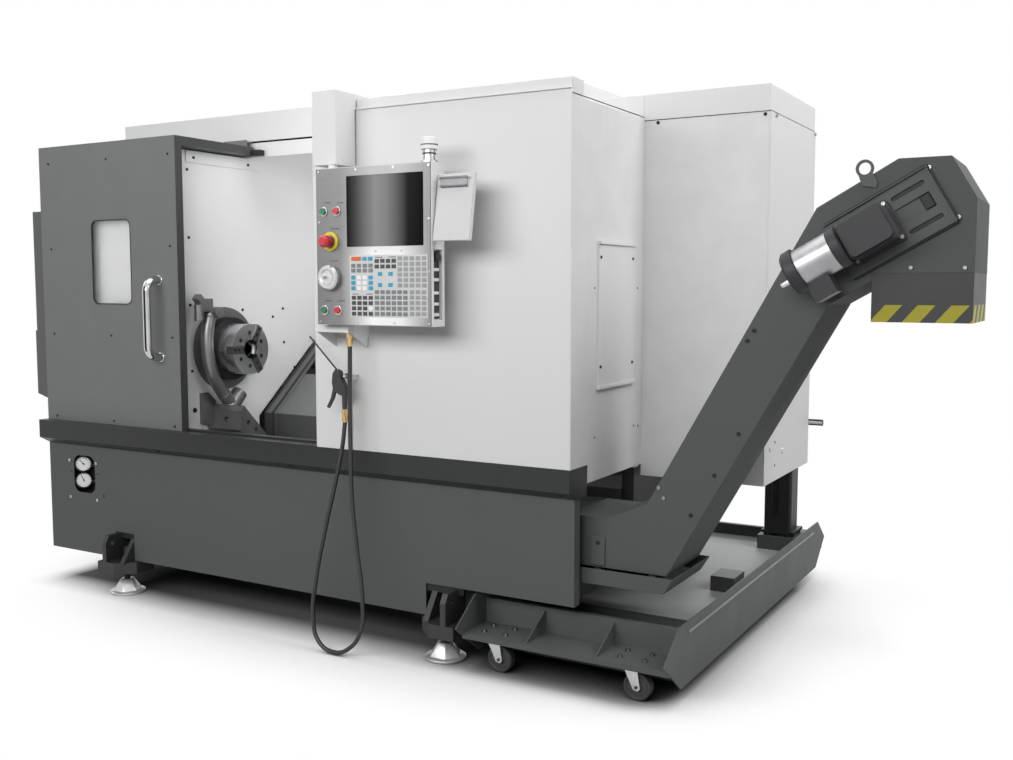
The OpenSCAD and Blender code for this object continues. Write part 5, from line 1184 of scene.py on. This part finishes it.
# %% [markdown]
# ## Dark card
# Chrome looks like chrome only when it has something dark to mirror. A photographer stands a black card
# beside the lamp for that. This one stands before the door, and only reflections see it.

# %% Card
CARD_WIDTH, CARD_HEIGHT, CARD_PLACE = 0.95, 1.3, (-1.32, -1.6, 1.15)
card_turn = Matrix.Translation(CARD_PLACE) @ Matrix.Rotation(QUARTER, 4, "X")
card = flat_sheet("dark_card", CARD_WIDTH, CARD_HEIGHT, card_turn, black_rubber)
card.visible_camera = card.visible_diffuse = card.visible_shadow = card.visible_transmission = False
print("card at:", CARD_PLACE)

# %% [markdown]
# ## World and lamps
# The background is white to the camera, to shiny metal and through glass, but the light that it throws on
# the machine is dim, so that the lamps shape it. Five large soft lamps stand round the machine. Two small
# ones inside stand for the work light, and the camera doesn't see them.

# %% World
AMBIENT = 0.115
world = bpy.data.worlds.new("studio")
scene.world = world
sky = Graph(world)
background = sky.tree.nodes["Background"]
sky.feed(background.inputs["Color"], (1.0, 1.0, 1.0))
sky.feed(background.inputs["Strength"], sky.looked_at() * (1.0 - AMBIENT) + AMBIENT)
print("ambient light:", AMBIENT)


# %% Lamps
def soft_box(name, stand, aim, width, height, watts):
    data = bpy.data.lights.new(name, "AREA")
    data.shape = "RECTANGLE"
    data.size = width
    data.size_y = height
    data.energy = watts
    lamp = bpy.data.objects.new(name, data)
    lamp.location = stand
    lamp.rotation_euler = (Vector(aim) - Vector(stand)).to_track_quat("-Z", "Y").to_euler()
    scene.collection.objects.link(lamp)
    return lamp


soft_box("overhead", (0.2, -0.6, 4.8), (0.2, -0.3, 0.0), 5.0, 4.0, 84.0)
soft_box("front_top", (-0.1, -4.5, 2.6), (0.0, -0.6, 1.1), 5.2, 1.4, 158.0)
soft_box("right_top", (4.3, -0.3, 3.7), (1.3, 0.1, 1.5), 2.0, 2.5, 132.0)
soft_box("back_top", (-0.4, 4.6, 3.2), (0.0, 0.4, 1.1), 4.5, 1.4, 110.0)
soft_box("left_top", (-4.8, 0.2, 3.2), (-1.0, 0.0, 1.2), 2.4, 1.6, 80.0)
wall_light = soft_box("wall_light", (0.42, -0.30, 1.25), (-1.0, -0.10, 1.30), 0.5, 0.9, 1.0)
rear_light = soft_box("rear_light", (-0.05, -0.66, 1.35), (-0.12, 0.3, 1.30), 0.4, 0.9, 13.0)
wall_light.visible_camera = rear_light.visible_camera = False
print("lamps:", len(bpy.data.lights))

# %% [markdown]
# ## Close the lesson
# The view transform stays plain, so that a colour renders as it is written.

# %% Finish
scene.view_settings.view_transform = "Standard"
